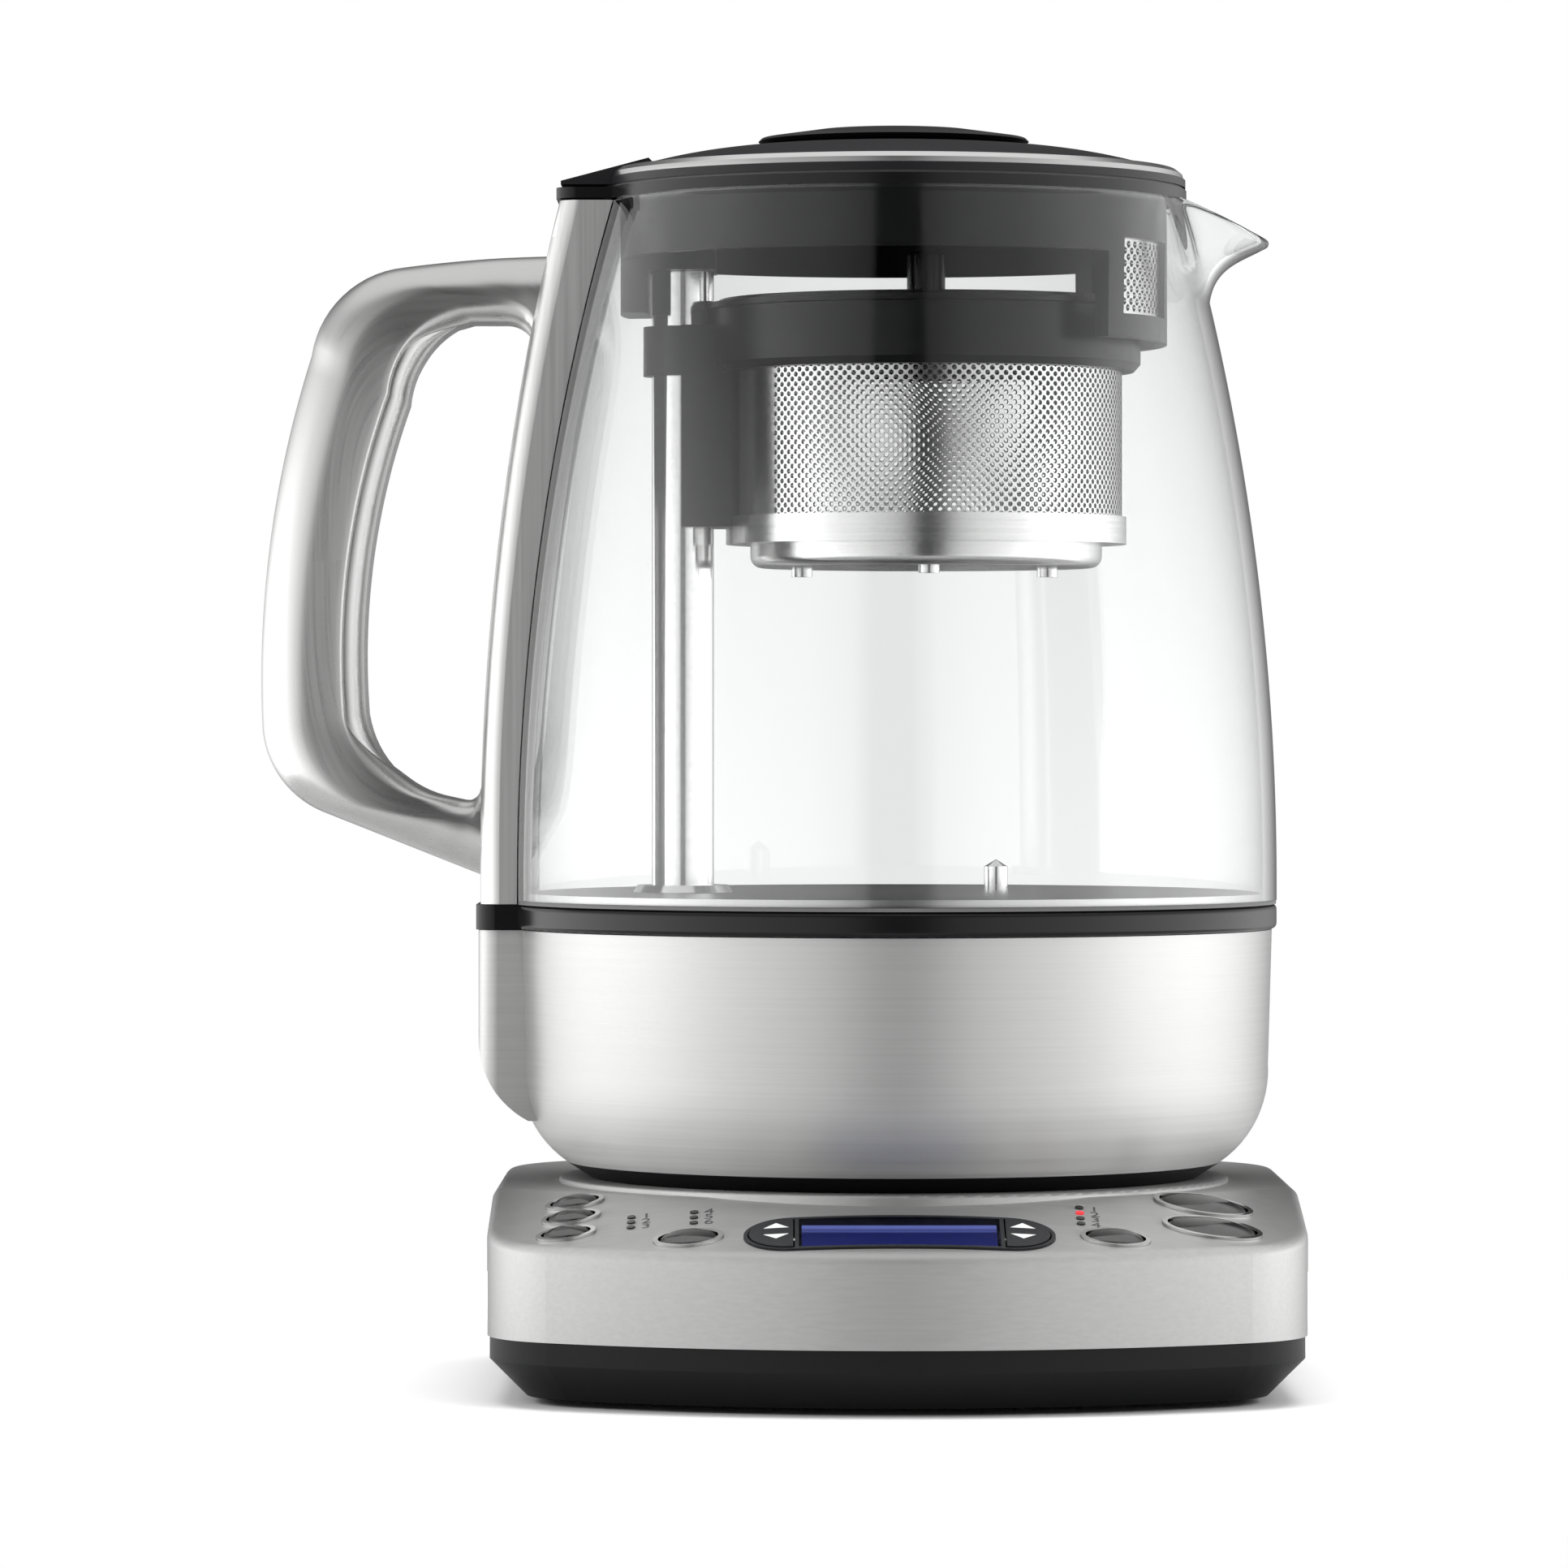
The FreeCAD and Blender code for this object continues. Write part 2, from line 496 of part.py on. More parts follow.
def draw(sketch, corners):
    """Closed outline from corners (x, y) or (x, y, radius), each radius for the arc that ends there."""
    spots = [FreeCAD.Vector(as_dim(c[0]).number, as_dim(c[1]).number, 0) for c in corners]
    starts = []
    ends = []
    for index, corner in enumerate(corners):
        start = spots[index - 1]
        end = spots[index]
        if len(corner) == 2:
            edge = sketch.addGeometry(Part.LineSegment(start, end), False)
            starts.append((edge, 1))
            ends.append((edge, 2))
        else:
            arc, forward = arc_through(start, end, as_dim(corner[2]).number)
            edge = sketch.addGeometry(arc, False)
            starts.append((edge, 1 if forward else 2))
            ends.append((edge, 2 if forward else 1))
    for index, corner in enumerate(corners):
        after = starts[(index + 1) % len(corners)]
        sketch.addConstraint(Sketcher.Constraint("Coincident", *ends[index], *after))
    for index, corner in enumerate(corners):
        for kind, value in zip(("DistanceX", "DistanceY"), corner[:2]):
            number = as_dim(value).number
            rule = Sketcher.Constraint(kind, -1, 1, *ends[index], number)
            bind(sketch, "Constraints[%d]" % sketch.addConstraint(rule), value)
        if len(corner) == 3:
            value = as_dim(corner[2])
            value = value if value.number > 0 else -value
            rule = Sketcher.Constraint("Radius", ends[index][0], value.number)
            bind(sketch, "Constraints[%d]" % sketch.addConstraint(rule), value)


def turned(label, corners):
    """Body turned about its own vertical axis from (radius, height) corners."""
    body = doc.addObject("PartDesign::Body", label)
    sketch = plane_sketch(body, "XZ_Plane", label + "_profile")
    draw(sketch, corners)
    turn = body.newObject("PartDesign::Revolution", label + "_turn")
    turn.Profile = sketch
    turn.ReferenceAxis = (sketch, ["V_Axis"])
    turn.Angle = 360.0
    body.Tip = turn
    return body


def padded(label, corners, low, high):
    """Body padded upwards between two heights from an outline in plan."""
    body = doc.addObject("PartDesign::Body", label)
    sketch = plane_sketch(body, "XY_Plane", label + "_outline", low)
    draw(sketch, corners)
    pad = body.newObject("PartDesign::Pad", label + "_pad")
    pad.Profile = sketch
    bind(pad, "Length", high - low)
    body.Tip = pad
    return body


def plate(label, corners, half):
    """Body padded to both sides of the XZ plane from an outline of (x, z) corners."""
    body = doc.addObject("PartDesign::Body", label)
    sketch = plane_sketch(body, "XZ_Plane", label + "_outline")
    draw(sketch, corners)
    pad = body.newObject("PartDesign::Pad", label + "_pad")
    pad.Profile = sketch
    pad.Midplane = True
    bind(pad, "Length", 2.0 * half)
    body.Tip = pad
    return body


def edge_names(shape, wanted):
    """Names of the edges whose middle point and shape pass the test."""
    names = []
    for index, edge in enumerate(shape.Edges):
        middle = edge.valueAt((edge.FirstParameter + edge.LastParameter) * 0.5)
        if wanted(edge, middle):
            names.append("Edge%d" % (index + 1))
    return names


def dress(body, kind, prop, value, wanted):
    """Fillet or chamfer the wanted edges of a body's last feature."""
    doc.recompute()
    base = body.Tip
    feature = body.newObject("PartDesign::" + kind, body.Name + "_" + kind.lower())
    feature.Base = (base, edge_names(base.Shape, wanted))
    bind(feature, prop, value)
    body.Tip = feature
    return body


def rounded(body, radius, wanted):
    """Round the wanted edges."""
    return dress(body, "Fillet", "Radius", radius, wanted)


def upright(edge, middle):
    """True for a straight vertical edge."""
    direction = edge.tangentAt(edge.FirstParameter)
    return abs(direction.z) > 0.999


def rod(label, radius, low, high, x=0.0, y=0.0):
    """Vertical cylinder between two heights."""
    cylinder = doc.addObject("Part::Cylinder", label)
    bind(cylinder, "Radius", radius)
    bind(cylinder, "Height", high - low)
    return place(cylinder, x, y, low)


def block(label, x_low, x_high, y_low, y_high, z_low, z_high):
    """Box between two corners."""
    box = doc.addObject("Part::Box", label)
    bind(box, "Length", x_high - x_low)
    bind(box, "Width", y_high - y_low)
    bind(box, "Height", z_high - z_low)
    return place(box, x_low, y_low, z_low)


def lying_rod(label, radius, x_low, x_high, height):
    """Cylinder along X."""
    cylinder = doc.addObject("Part::Cylinder", label)
    bind(cylinder, "Radius", radius)
    bind(cylinder, "Height", x_high - x_low)
    cylinder.Placement.Rotation = FreeCAD.Rotation(FreeCAD.Vector(0, 1, 0), 90)
    return place(cylinder, x_low, 0.0, height)


def cut(label, base, tool):
    """Base less tool."""
    result = doc.addObject("Part::Cut", label)
    result.Base = base
    result.Tool = tool
    return result


def fused(label, pieces):
    """Pieces joined to one solid."""
    result = doc.addObject("Part::MultiFuse", label)
    result.Shapes = pieces
    return result


def common(label, first, second):
    """What two solids share."""
    result = doc.addObject("Part::MultiCommon", label)
    result.Shapes = [first, second]
    return result


def group(label, pieces):
    """Separate solids held as one sub-part."""
    result = doc.addObject("Part::Compound", label)
    result.Links = pieces
    return result


# ---------------------------------------------------------------- outline of the power base


def base_block(label, inset, low, high):
    """Prism of the base's outline: bowed front, straight sides, rounded corners."""
    half = base_half_width - inset
    bow = bow_radius - inset
    front = bow_centre - root(bow * bow - half * half)
    corners = [(-half, base_back - inset), (-half, front), (half, front, -bow), (half, base_back - inset)]
    body = padded(label, corners, low, high)
    rounded(body, front_corner - inset, lambda edge, at: upright(edge, at) and at.y < 0)
    body.Tip.Label = label + "_front_corners"
    return rounded(body, back_corner - inset, lambda edge, at: upright(edge, at) and at.y > 0 and
                   abs(abs(at.x) - half.number) < 0.01 and at.y > base_back.number - inset.number - 0.01)


def panel_height(radius, inset):
    """Height of the sloped panel at a distance from the bow's centre, moved inwards by inset."""
    drop = inset * root(1.0 + panel_slope * panel_slope)
    return band_top + panel_slope * (bow_radius - radius) - drop


def crown(label, inset, low, reach=None):
    """Solid under the cover's flat top and its conical panel, moved inwards by inset."""
    edge = bow_radius - inset if reach is None else bow_radius + reach
    top = cover_top - inset
    drop = inset * root(1.0 + panel_slope * panel_slope)
    crease = bow_radius - (top - band_top + drop) / panel_slope
    corners = [(0.0, low), (edge, low), (edge, panel_height(edge, inset)), (crease, top), (0.0, top)]
    body = turned(label, corners)
    return place(body, 0.0, bow_centre, 0.0)


def cover_solid(label, inset, low):
    """The cover's outer form, moved inwards by inset."""
    prism = base_block(label + "_prism", inset, low, cover_top + 1.0)
    return common(label, prism, crown(label + "_crown", inset, low))


def panel_band(label, proud, depth):
    """Layer of the panel between proud above its surface and depth below it."""
    outer = crown(label + "_outer", -proud, cover_bottom, 2.0)
    inner = crown(label + "_inner", as_dim(depth), cover_bottom - 1.0, 4.0)
    return cut(label, outer, inner)


def panel_frame(x, ahead):
    """Placement on the panel: local Z along the surface normal, local X level with the panel."""
    away_x = as_dim(x).number
    away_y = -as_dim(ahead).number - bow_centre.number
    radius = math.hypot(away_x, away_y)
    slope = math.atan(panel_slope.number)
    height = band_top.number + panel_slope.number * (bow_radius.number - radius)
    normal = FreeCAD.Vector(away_x / radius * math.sin(slope), away_y / radius * math.sin(slope),
                            math.cos(slope))
    along = FreeCAD.Vector(1, 0, 0) - normal * normal.x
    turn = FreeCAD.Rotation(along, normal.cross(along), normal, "ZXY")
    return FreeCAD.Placement(FreeCAD.Vector(away_x, -as_dim(ahead).number, height), turn)


def oval_prism(label, half_long, half_short, depth, proud, frame):
    """Elliptical prism through the panel."""
    outline = doc.addObject("Part::Ellipse", label + "_outline")
    bind(outline, "MajorRadius", half_long)
    bind(outline, "MinorRadius", half_short)
    prism = doc.addObject("Part::Extrusion", label)
    prism.Base = outline
    prism.DirMode = "Custom"
    prism.Dir = FreeCAD.Vector(0, 0, 1)
    prism.Solid = True
    bind(prism, "LengthFwd", proud)
    bind(prism, "LengthRev", depth)
    prism.Placement = frame
    return prism


def framed(thing, frame):
    """Set a body that was built at the origin onto the panel."""
    thing.Placement = frame
    return thing


# ---------------------------------------------------------------- control panel

lamp_places = [(-lamp_left, lamp_first + lamp_pitch * step) for step in range(3)]
lamp_places += [(-lamp_inner, lamp_first + lamp_pitch * (step + 0.45)) for step in range(3)]
lamp_places += [(lamp_right, lamp_first + lamp_pitch * step) for step in (0, 2, 3)]
lit_place = (lamp_right, lamp_first + lamp_pitch)
rocker_places = (("temperature_rocker", -1), ("time_rocker", 1))


def pill(label, half, reach, low, high):
    """Stadium prism, rounded at both ends."""
    straight = half - reach
    corners = [(-straight, -reach), (straight, -reach), (half, 0.0, -reach), (straight, reach, -reach),
               (-straight, reach), (-half, 0.0, -reach)]
    corners[0] = (-straight, -reach, -reach)
    return padded(label, corners, low, high)


def rocker_pad(label, side, gap, low, high):
    """D shaped prism beside the window, in a frame on the rocker's own middle."""
    reach = display_reach - display_rim - gap
    inner = side * (window_half + display_rim + gap - rocker_from_centre)
    bend = side * (display_half - display_reach - rocker_from_centre)
    tip = bend + side * reach
    arc = -reach if side > 0 else reach
    corners = [(inner, -reach), (bend, -reach), (tip, 0.0, arc), (bend, reach, arc), (inner, reach)]
    return padded(label, corners, low, high)


display_frame_place = panel_frame(0.0, display_from_axis)
rocker_frames = {side: panel_frame(side * rocker_from_centre, display_from_axis)
                 for name, side in rocker_places}
through = as_dim(12.0)

bezel_holes = []
bezels = []
band = panel_band("bezel_band", bezel_proud, bezel_depth)
for name, x, ahead, half_long, half_short in button_places:
    frame = panel_frame(x, ahead)
    inner = button_gap
    outer = button_gap + bezel_rim
    hole = outer + running_fit
    bezel_holes.append(oval_prism(name + "_hole", half_long + hole, half_short + hole,
                                  through, through, frame))
    ring = common(name + "_bezel_disc", band,
                  oval_prism(name + "_bezel_outer", half_long + outer, half_short + outer,
                             through, through, frame))
    bezels.append(cut(name + "_bezel", ring,
                      oval_prism(name + "_bezel_inner", half_long + inner, half_short + inner,
                                 through, through, frame)))
    plain = oval_prism(name + "_plain", half_long, half_short, button_depth, button_proud, frame)
    doc.recompute()
    cap = doc.addObject("Part::Fillet", name)
    cap.Base = plain
    top = frame.multVec(FreeCAD.Vector(0, 0, button_proud.number))
    normal = frame.Rotation.multVec(FreeCAD.Vector(0, 0, 1))
    rim = [index + 1 for index, edge in enumerate(plain.Shape.Edges)
           if abs((edge.valueAt(edge.FirstParameter) - top).dot(normal)) < 0.01
           and abs((edge.valueAt((edge.FirstParameter + edge.LastParameter) / 2) - top).dot(normal)) < 0.01]
    cap.Edges = [(index, button_dome.number, button_dome.number) for index in rim]
    keep(cap, name)
keep(group("bezels", bezels), "button_bezels")

lamps = []
for index, (x, ahead) in enumerate(lamp_places + [lit_place]):
    lamp = doc.addObject("Part::Cylinder", "lamp_%d" % index)
    bind(lamp, "Radius", lamp_radius)
    bind(lamp, "Height", bezel_depth + 2.0 + lamp_proud)
    lamp.Placement = panel_frame(x, ahead).multiply(
        FreeCAD.Placement(FreeCAD.Vector(0, 0, -bezel_depth.number - 2.0), FreeCAD.Rotation()))
    lamps.append(lamp)
keep(group("dark_lamps", lamps[:-1]), "indicator_lamps")
keep(lamps[-1], "lit_lamp")

# display frame: a pill that follows the panel, with a window and two rocker openings
display_band = panel_band("display_band", display_proud, bezel_depth)
pill_outer = framed(pill("display_pill", display_half, display_reach, -through, through),
                    display_frame_place)
pill_hole = framed(pill("display_hole", display_half + running_fit, display_reach + running_fit,
                        -through, through), display_frame_place)
window = framed(padded("window_prism", [(-window_half, -window_reach), (window_half, -window_reach),
                                        (window_half, window_reach), (-window_half, window_reach)],
                       -through, through), display_frame_place)
rocker_openings = [framed(rocker_pad(name + "_opening", side, as_dim(0.0), -through, through),
                          rocker_frames[side]) for name, side in rocker_places]
pins = []
for name, side in rocker_places:
    pin = doc.addObject("Part::Cylinder", name + "_pin")
    bind(pin, "Radius", rocker_pin)
    bind(pin, "Height", display_half - window_half - display_rim * 0.5)
    start = window_half.number + display_rim.number * 0.25 - rocker_from_centre.number
    spot = FreeCAD.Vector(side * start, 0, -rocker_pin_depth.number)
    turn = FreeCAD.Rotation(FreeCAD.Vector(0, 1, 0), side * 90)
    pin.Placement = rocker_frames[side].multiply(FreeCAD.Placement(spot, turn))
    pins.append(pin)
keep(group("pins", pins), "rocker_pins")
keep(cut("frame_cut", common("frame_disc", display_band, pill_outer),
         fused("frame_openings", [window] + rocker_openings + pins)), "display_frame")

lens_band = panel_band("lens_band", display_proud, lens_thick - display_proud)
keep(common("lens_disc", lens_band, window), "display_lens")
lcd_low = -(lens_thick + lcd_thick)
keep(framed(padded("lcd_block", [(-window_half + lcd_inset, -window_reach + lcd_inset),
                                 (window_half - lcd_inset, -window_reach + lcd_inset),
                                 (window_half - lcd_inset, window_reach - lcd_inset),
                                 (-window_half + lcd_inset, window_reach - lcd_inset)],
                   lcd_low, lcd_low + lcd_thick), display_frame_place), "lcd_panel")

for name, side in rocker_places:
    pad = framed(rocker_pad(name + "_pad", side, rocker_gap, rocker_proud - rocker_thick, rocker_proud),
                 rocker_frames[side])
    bore = doc.addObject("Part::Cylinder", name + "_bore")
    bind(bore, "Radius", rocker_pin + running_fit)
    bind(bore, "Height", 2.0 * display_half)
    spot = FreeCAD.Vector(-side * display_half.number, 0, -rocker_pin_depth.number)
    turn = FreeCAD.Rotation(FreeCAD.Vector(0, 1, 0), side * 90)
    bore.Placement = rocker_frames[side].multiply(FreeCAD.Placement(spot, turn))
    keep(cut(name + "_cut", pad, bore), name)


# ---------------------------------------------------------------- power base

foot_spots = [(foot_out, foot_rear), (-foot_out, foot_rear), (foot_out, -foot_front),
              (-foot_out, -foot_front)]
screw_spots = [(screw_out, screw_rear), (-screw_out, screw_rear), (screw_out, -screw_front),
               (-screw_out, -screw_front)]
tray_floor = tray_bottom + tray_wall

tray_outer = base_block("tray_outer", tray_inset, tray_bottom, cover_bottom)
dress(tray_outer, "Chamfer", "Size", tray_chamfer,
      lambda edge, at: abs(at.z - tray_bottom.number) < 0.01)
tray_inner = base_block("tray_inner", tray_inset + tray_wall, tray_floor, cover_bottom + 1.0)
dress(tray_inner, "Chamfer", "Size", tray_chamfer,
      lambda edge, at: abs(at.z - tray_floor.number) < 0.01)
tray_shell = cut("tray_shell", tray_outer, tray_inner)

board_posts = [(board_post_out, -board_post_ahead), (-board_post_out, -board_post_ahead),
               (board_post_in, -board_post_front), (-board_post_in, -board_post_front)]
power_posts = [(power_half - 4.0, power_near + 4.0), (4.0 - power_half, power_near + 4.0),
               (power_half - 4.0, power_far - 4.0), (4.0 - power_half, power_far - 4.0)]
tray_parts = [tray_shell]
for index, (x, y) in enumerate(board_posts):
    tray_parts.append(rod("board_post_%d" % index, board_post, tray_floor - 0.5, board_bottom, x, y))
for index, (x, y) in enumerate(power_posts):
    tray_parts.append(rod("power_post_%d" % index, board_post, tray_floor - 0.5, power_low, x, y))
for index, (x, y) in enumerate(screw_spots):
    tray_parts.append(rod("tray_boss_%d" % index, screw_boss, tray_floor - 0.5, screw_seat + 3.0, x, y))
tray_tools = []
for index, (x, y) in enumerate(screw_spots):
    tray_tools.append(rod("head_well_%d" % index, screw_head + 0.4, tray_bottom - 1.0, screw_seat, x, y))
    tray_tools.append(rod("shank_hole_%d" % index, screw_radius + 0.2, screw_seat - 1.0,
                          screw_seat + 4.0, x, y))
for index, (x, y) in enumerate(foot_spots):
    tray_tools.append(rod("foot_well_%d" % index, foot_radius, tray_bottom - 1.0,
                          tray_bottom + foot_sink, x, y))
keep(cut("tray_cut", fused("tray_fused", tray_parts), fused("tray_tools", tray_tools)), "base_tray")

feet = [rod("foot_%d" % index, foot_radius, as_dim(0.0), tray_bottom + foot_sink, x, y)
        for index, (x, y) in enumerate(foot_spots)]
keep(group("feet", feet), "base_feet")

screws = []
for index, (x, y) in enumerate(screw_spots):
    head = rod("screw_head_%d" % index, screw_head, screw_seat - 2.0, screw_seat, x, y)
    shank = rod("screw_shank_%d" % index, screw_radius, screw_seat - 0.5, screw_top, x, y)
    screws.append(fused("screw_%d" % index, [head, shank]))
keep(group("screws", screws), "base_screws")

# openings that run through the cover and the housing
gland_hole = doc.addObject("Part::Cylinder", "gland_hole")
bind(gland_hole, "Radius", gland_radius + running_fit)
bind(gland_hole, "Height", 2.0 * through)
gland_hole.Placement.Rotation = FreeCAD.Rotation(FreeCAD.Vector(1, 0, 0), -90)
place(gland_hole, 0.0, base_back - through, gland_height)
boss_hole = rod("boss_hole", boss_neck + running_fit, cover_top - 8.0, seat_top + 4.0)
lamp_holes = []
for index, (x, ahead) in enumerate(lamp_places + [lit_place]):
    hole = doc.addObject("Part::Cylinder", "lamp_hole_%d" % index)
    bind(hole, "Radius", lamp_radius + running_fit)
    bind(hole, "Height", 2.0 * through)
    hole.Placement = panel_frame(x, ahead).multiply(
        FreeCAD.Placement(FreeCAD.Vector(0, 0, -through.number), FreeCAD.Rotation()))
    lamp_holes.append(hole)
panel_openings = fused("panel_openings", bezel_holes + lamp_holes + [pill_hole, gland_hole, boss_hole])

cover_outer = cover_solid("cover_outer", as_dim(0.0), cover_bottom)
doc.recompute()
cover_rounded = doc.addObject("Part::Fillet", "cover_rounded")
cover_rounded.Base = cover_outer


def cover_shoulder(edge, middle):
    """True for the edges where the cover's side wall meets its top and its panel."""
    if upright(edge, middle) or middle.z < band_top.number - 0.01:
        return False
    touching = cover_outer.Shape.ancestorsOfType(edge, Part.Face)
    return any(abs(face.normalAt(*face.Surface.parameter(middle)).z) < 0.01 for face in touching)


shoulder = [int(name[4:]) for name in edge_names(cover_outer.Shape, cover_shoulder)]
cover_rounded.Edges = [(index, cover_round.number, cover_round.number) for index in shoulder]
seat = turned("seat", [(0.0, band_top), (seat_radius, band_top), (seat_radius, seat_top), (0.0, seat_top)])
rounded(seat, seat_round, lambda edge, at: abs(at.z - seat_top.number) < 0.01)
cover_form = fused("cover_form", [cover_rounded, seat])
cover_inner = cover_solid("cover_inner", cover_wall, cover_bottom - 1.0)
keep(cut("cover_cut", cut("cover_shell", cover_form, cover_inner), panel_openings), "base_cover")

housing_inset = cover_wall + housing_gap
housing_outer = cover_solid("housing_outer", housing_inset, cover_bottom)
housing_inner = cover_solid("housing_inner", housing_inset + housing_wall, cover_bottom - 1.0)
housing_parts = [cut("housing_shell", housing_outer, housing_inner)]
housing_tools = []
for index, (x, y) in enumerate(screw_spots):
    pillar = rod("pillar_%d" % index, screw_boss, screw_seat + 3.1, cover_top, x, y)
    housing_parts.append(common("pillar_trim_%d" % index, pillar,
                                cover_solid("pillar_form_%d" % index, housing_inset + 0.5,
                                            as_dim(0.0))))
    housing_tools.append(rod("pillar_hole_%d" % index, screw_radius + running_fit, screw_seat,
                             screw_top + 1.0, x, y))
keep(cut("housing_cut", cut("housing_drilled", fused("housing_fused", housing_parts),
                            fused("housing_tools", housing_tools)), panel_openings), "panel_carrier")

# cord gland in the rear wall
gland_body = turned("gland_body", [(gland_bore, -8.0), (gland_radius, -8.0), (gland_radius, 0.0),
                                   (gland_flange, 0.0), (gland_flange, 1.4), (gland_bore, 2.6)])
gland_body.Placement.Rotation = FreeCAD.Rotation(FreeCAD.Vector(1, 0, 0), -90)
place(gland_body, 0.0, base_back, gland_height)
keep(gland_body, "cord_gland")

# boards
board_prism = base_block("board_prism", board_inset, board_bottom, board_bottom + board_thick)
board_area = block("board_area", -base_half_width, base_half_width, -2.0 * base_back, -board_front,
                   board_bottom - 1.0, board_bottom + 4.0)
keep(common("board_trim", board_prism, board_area), "control_board")

board_top = board_bottom + board_thick
switches = []
switch_targets = []
for name, x, ahead, half_long, half_short in button_places:
    low = panel_frame(x, ahead).multVec(FreeCAD.Vector(0, 0, -button_depth.number))
    switch_targets.append((low, button_travel.number + 1.0))
for name, side in rocker_places:
    for end in (-1, 1):
        spot = FreeCAD.Vector(0, end * rocker_arm.number, (rocker_proud - rocker_thick).number)
        switch_targets.append((rocker_frames[side].multVec(spot), switch_gap.number))
for index, (low, gap) in enumerate(switch_targets):
    body = block("switch_body_%d" % index, low.x - switch_half, low.x + switch_half,
                 low.y - switch_half, low.y + switch_half, board_top, board_top + switch_body)
    stem = rod("switch_stem_%d" % index, switch_stem, board_top + switch_body - 0.5,
               as_dim(low.z - gap), low.x, low.y)
    switches.append(fused("switch_%d" % index, [body, stem]))
keep(group("switches", switches), "key_switches")

power_top = power_low + board_thick
transformer = block("transformer", as_dim(-34.0), as_dim(-8.0), power_near + 8.0, power_near + 36.0,
                    power_top - 0.2, power_top + 18.0)
relay = block("relay", as_dim(4.0), as_dim(20.0), power_near + 8.0, power_near + 20.0,
              power_top - 0.2, power_top + 14.0)
capacitor = rod("capacitor", as_dim(6.0), power_top - 0.2, power_top + 16.0, 14.0, power_near + 32.0)
power_plate = block("power_plate", -power_half, power_half, power_near, power_far, power_low, power_top)
keep(fused("power_fused", [power_plate, transformer, relay, capacitor]), "power_board")

# connector
flange_top = cover_top - cover_wall - housing_gap - housing_wall
slot_low = boss_top - 10.0
boss = turned("boss", [(0.0, flange_top - 2.5), (boss_flange, flange_top - 2.5), (boss_flange, flange_top),
                       (boss_neck, flange_top), (boss_neck, seat_top + 1.0),
                       (boss_radius, seat_top + 1.0), (boss_radius, boss_top), (slot_outer, boss_top),
                       (slot_outer, slot_low), (slot_inner, slot_low), (slot_inner, boss_top),
                       (pin_well, boss_top), (pin_well, slot_low), (pin_radius, slot_low),
                       (pin_radius, slot_low - 4.0), (0.0, slot_low - 4.0)])
keep(boss, "connector_boss")
ring_high = boss_top - 1.0
outer_ring = turned("outer_ring", [(slot_outer - contact_wall, slot_low), (slot_outer, slot_low),
                                   (slot_outer, ring_high), (slot_outer - contact_wall, ring_high)])
inner_ring = turned("inner_ring", [(slot_inner, slot_low), (slot_inner + contact_wall, slot_low),
                                   (slot_inner + contact_wall, ring_high), (slot_inner, ring_high)])
centre_pin = rod("centre_pin", pin_radius, slot_low - 4.0, ring_high)
keep(group("rings", [outer_ring, inner_ring, centre_pin]), "connector_rings")


# ---------------------------------------------------------------- jug

jug_bottom = seat_top + jug_gap
socket_bore = boss_radius + socket_gap
socket_outer = socket_bore + socket_wall
socket_low = seat_top + 1.4
socket_ceiling = boss_top + 1.5
socket_high = socket_ceiling + 2.5
foot_top = jug_bottom + 2.6
foot_hole = socket_outer + 0.3
foot_edge = shell_foot - 0.1
foot_shoulder = shell_low - 0.1
foot_upstand = shell_foot - 1.7
keep(turned("foot_ring", [(foot_hole, jug_bottom), (foot_flat, jug_bottom), (foot_edge, foot_shoulder),
                          (foot_upstand, foot_shoulder), (foot_upstand, foot_shoulder + 4.0),
                          (foot_upstand - 2.0, foot_shoulder + 4.0), (foot_upstand - 2.0, foot_top),
                          (foot_hole, foot_top)]), "jug_foot")

blade_mid = (slot_inner + slot_outer) * 0.5
blade_outer = turned("blade_outer", [(blade_mid - 0.35, slot_low + 2.0), (blade_mid + 0.35, slot_low + 2.0),
                                     (blade_mid + 0.35, socket_ceiling + 1.5),
                                     (blade_mid - 0.35, socket_ceiling + 1.5)])
blade_inner = turned("blade_inner", [(pin_radius + 0.4, slot_low + 1.5), (pin_radius + 1.2, slot_low + 1.5),
                                     (pin_radius + 1.2, socket_ceiling + 1.5),
                                     (pin_radius + 0.4, socket_ceiling + 1.5)])
keep(group("blades", [blade_outer, blade_inner]), "socket_contacts")
socket_body = turned("socket_body", [(0.0, socket_ceiling), (socket_bore, socket_ceiling),
                                     (socket_bore, socket_low), (socket_outer, socket_low),
                                     (socket_outer, foot_top + 0.1), (socket_outer + 4.0, foot_top + 0.1),
                                     (socket_outer + 4.0, foot_top + 2.0), (socket_outer, foot_top + 2.0),
                                     (socket_outer, socket_high), (0.0, socket_high)])
blade_slots = fused("blade_slots", [blade_outer, blade_inner])
keep(cut("socket_cut", socket_body, blade_slots), "jug_socket")


def lobe_block(label, reach, near, half, low, high):
    """Block under or over the column: its far corners rounded in plan."""
    body = padded(label, [(-reach, -half), (-near, -half), (-near, half), (-reach, half)], low, high)
    return rounded(body, column_round, lambda edge, at: upright(edge, at) and at.x < 0.01 - reach.number)


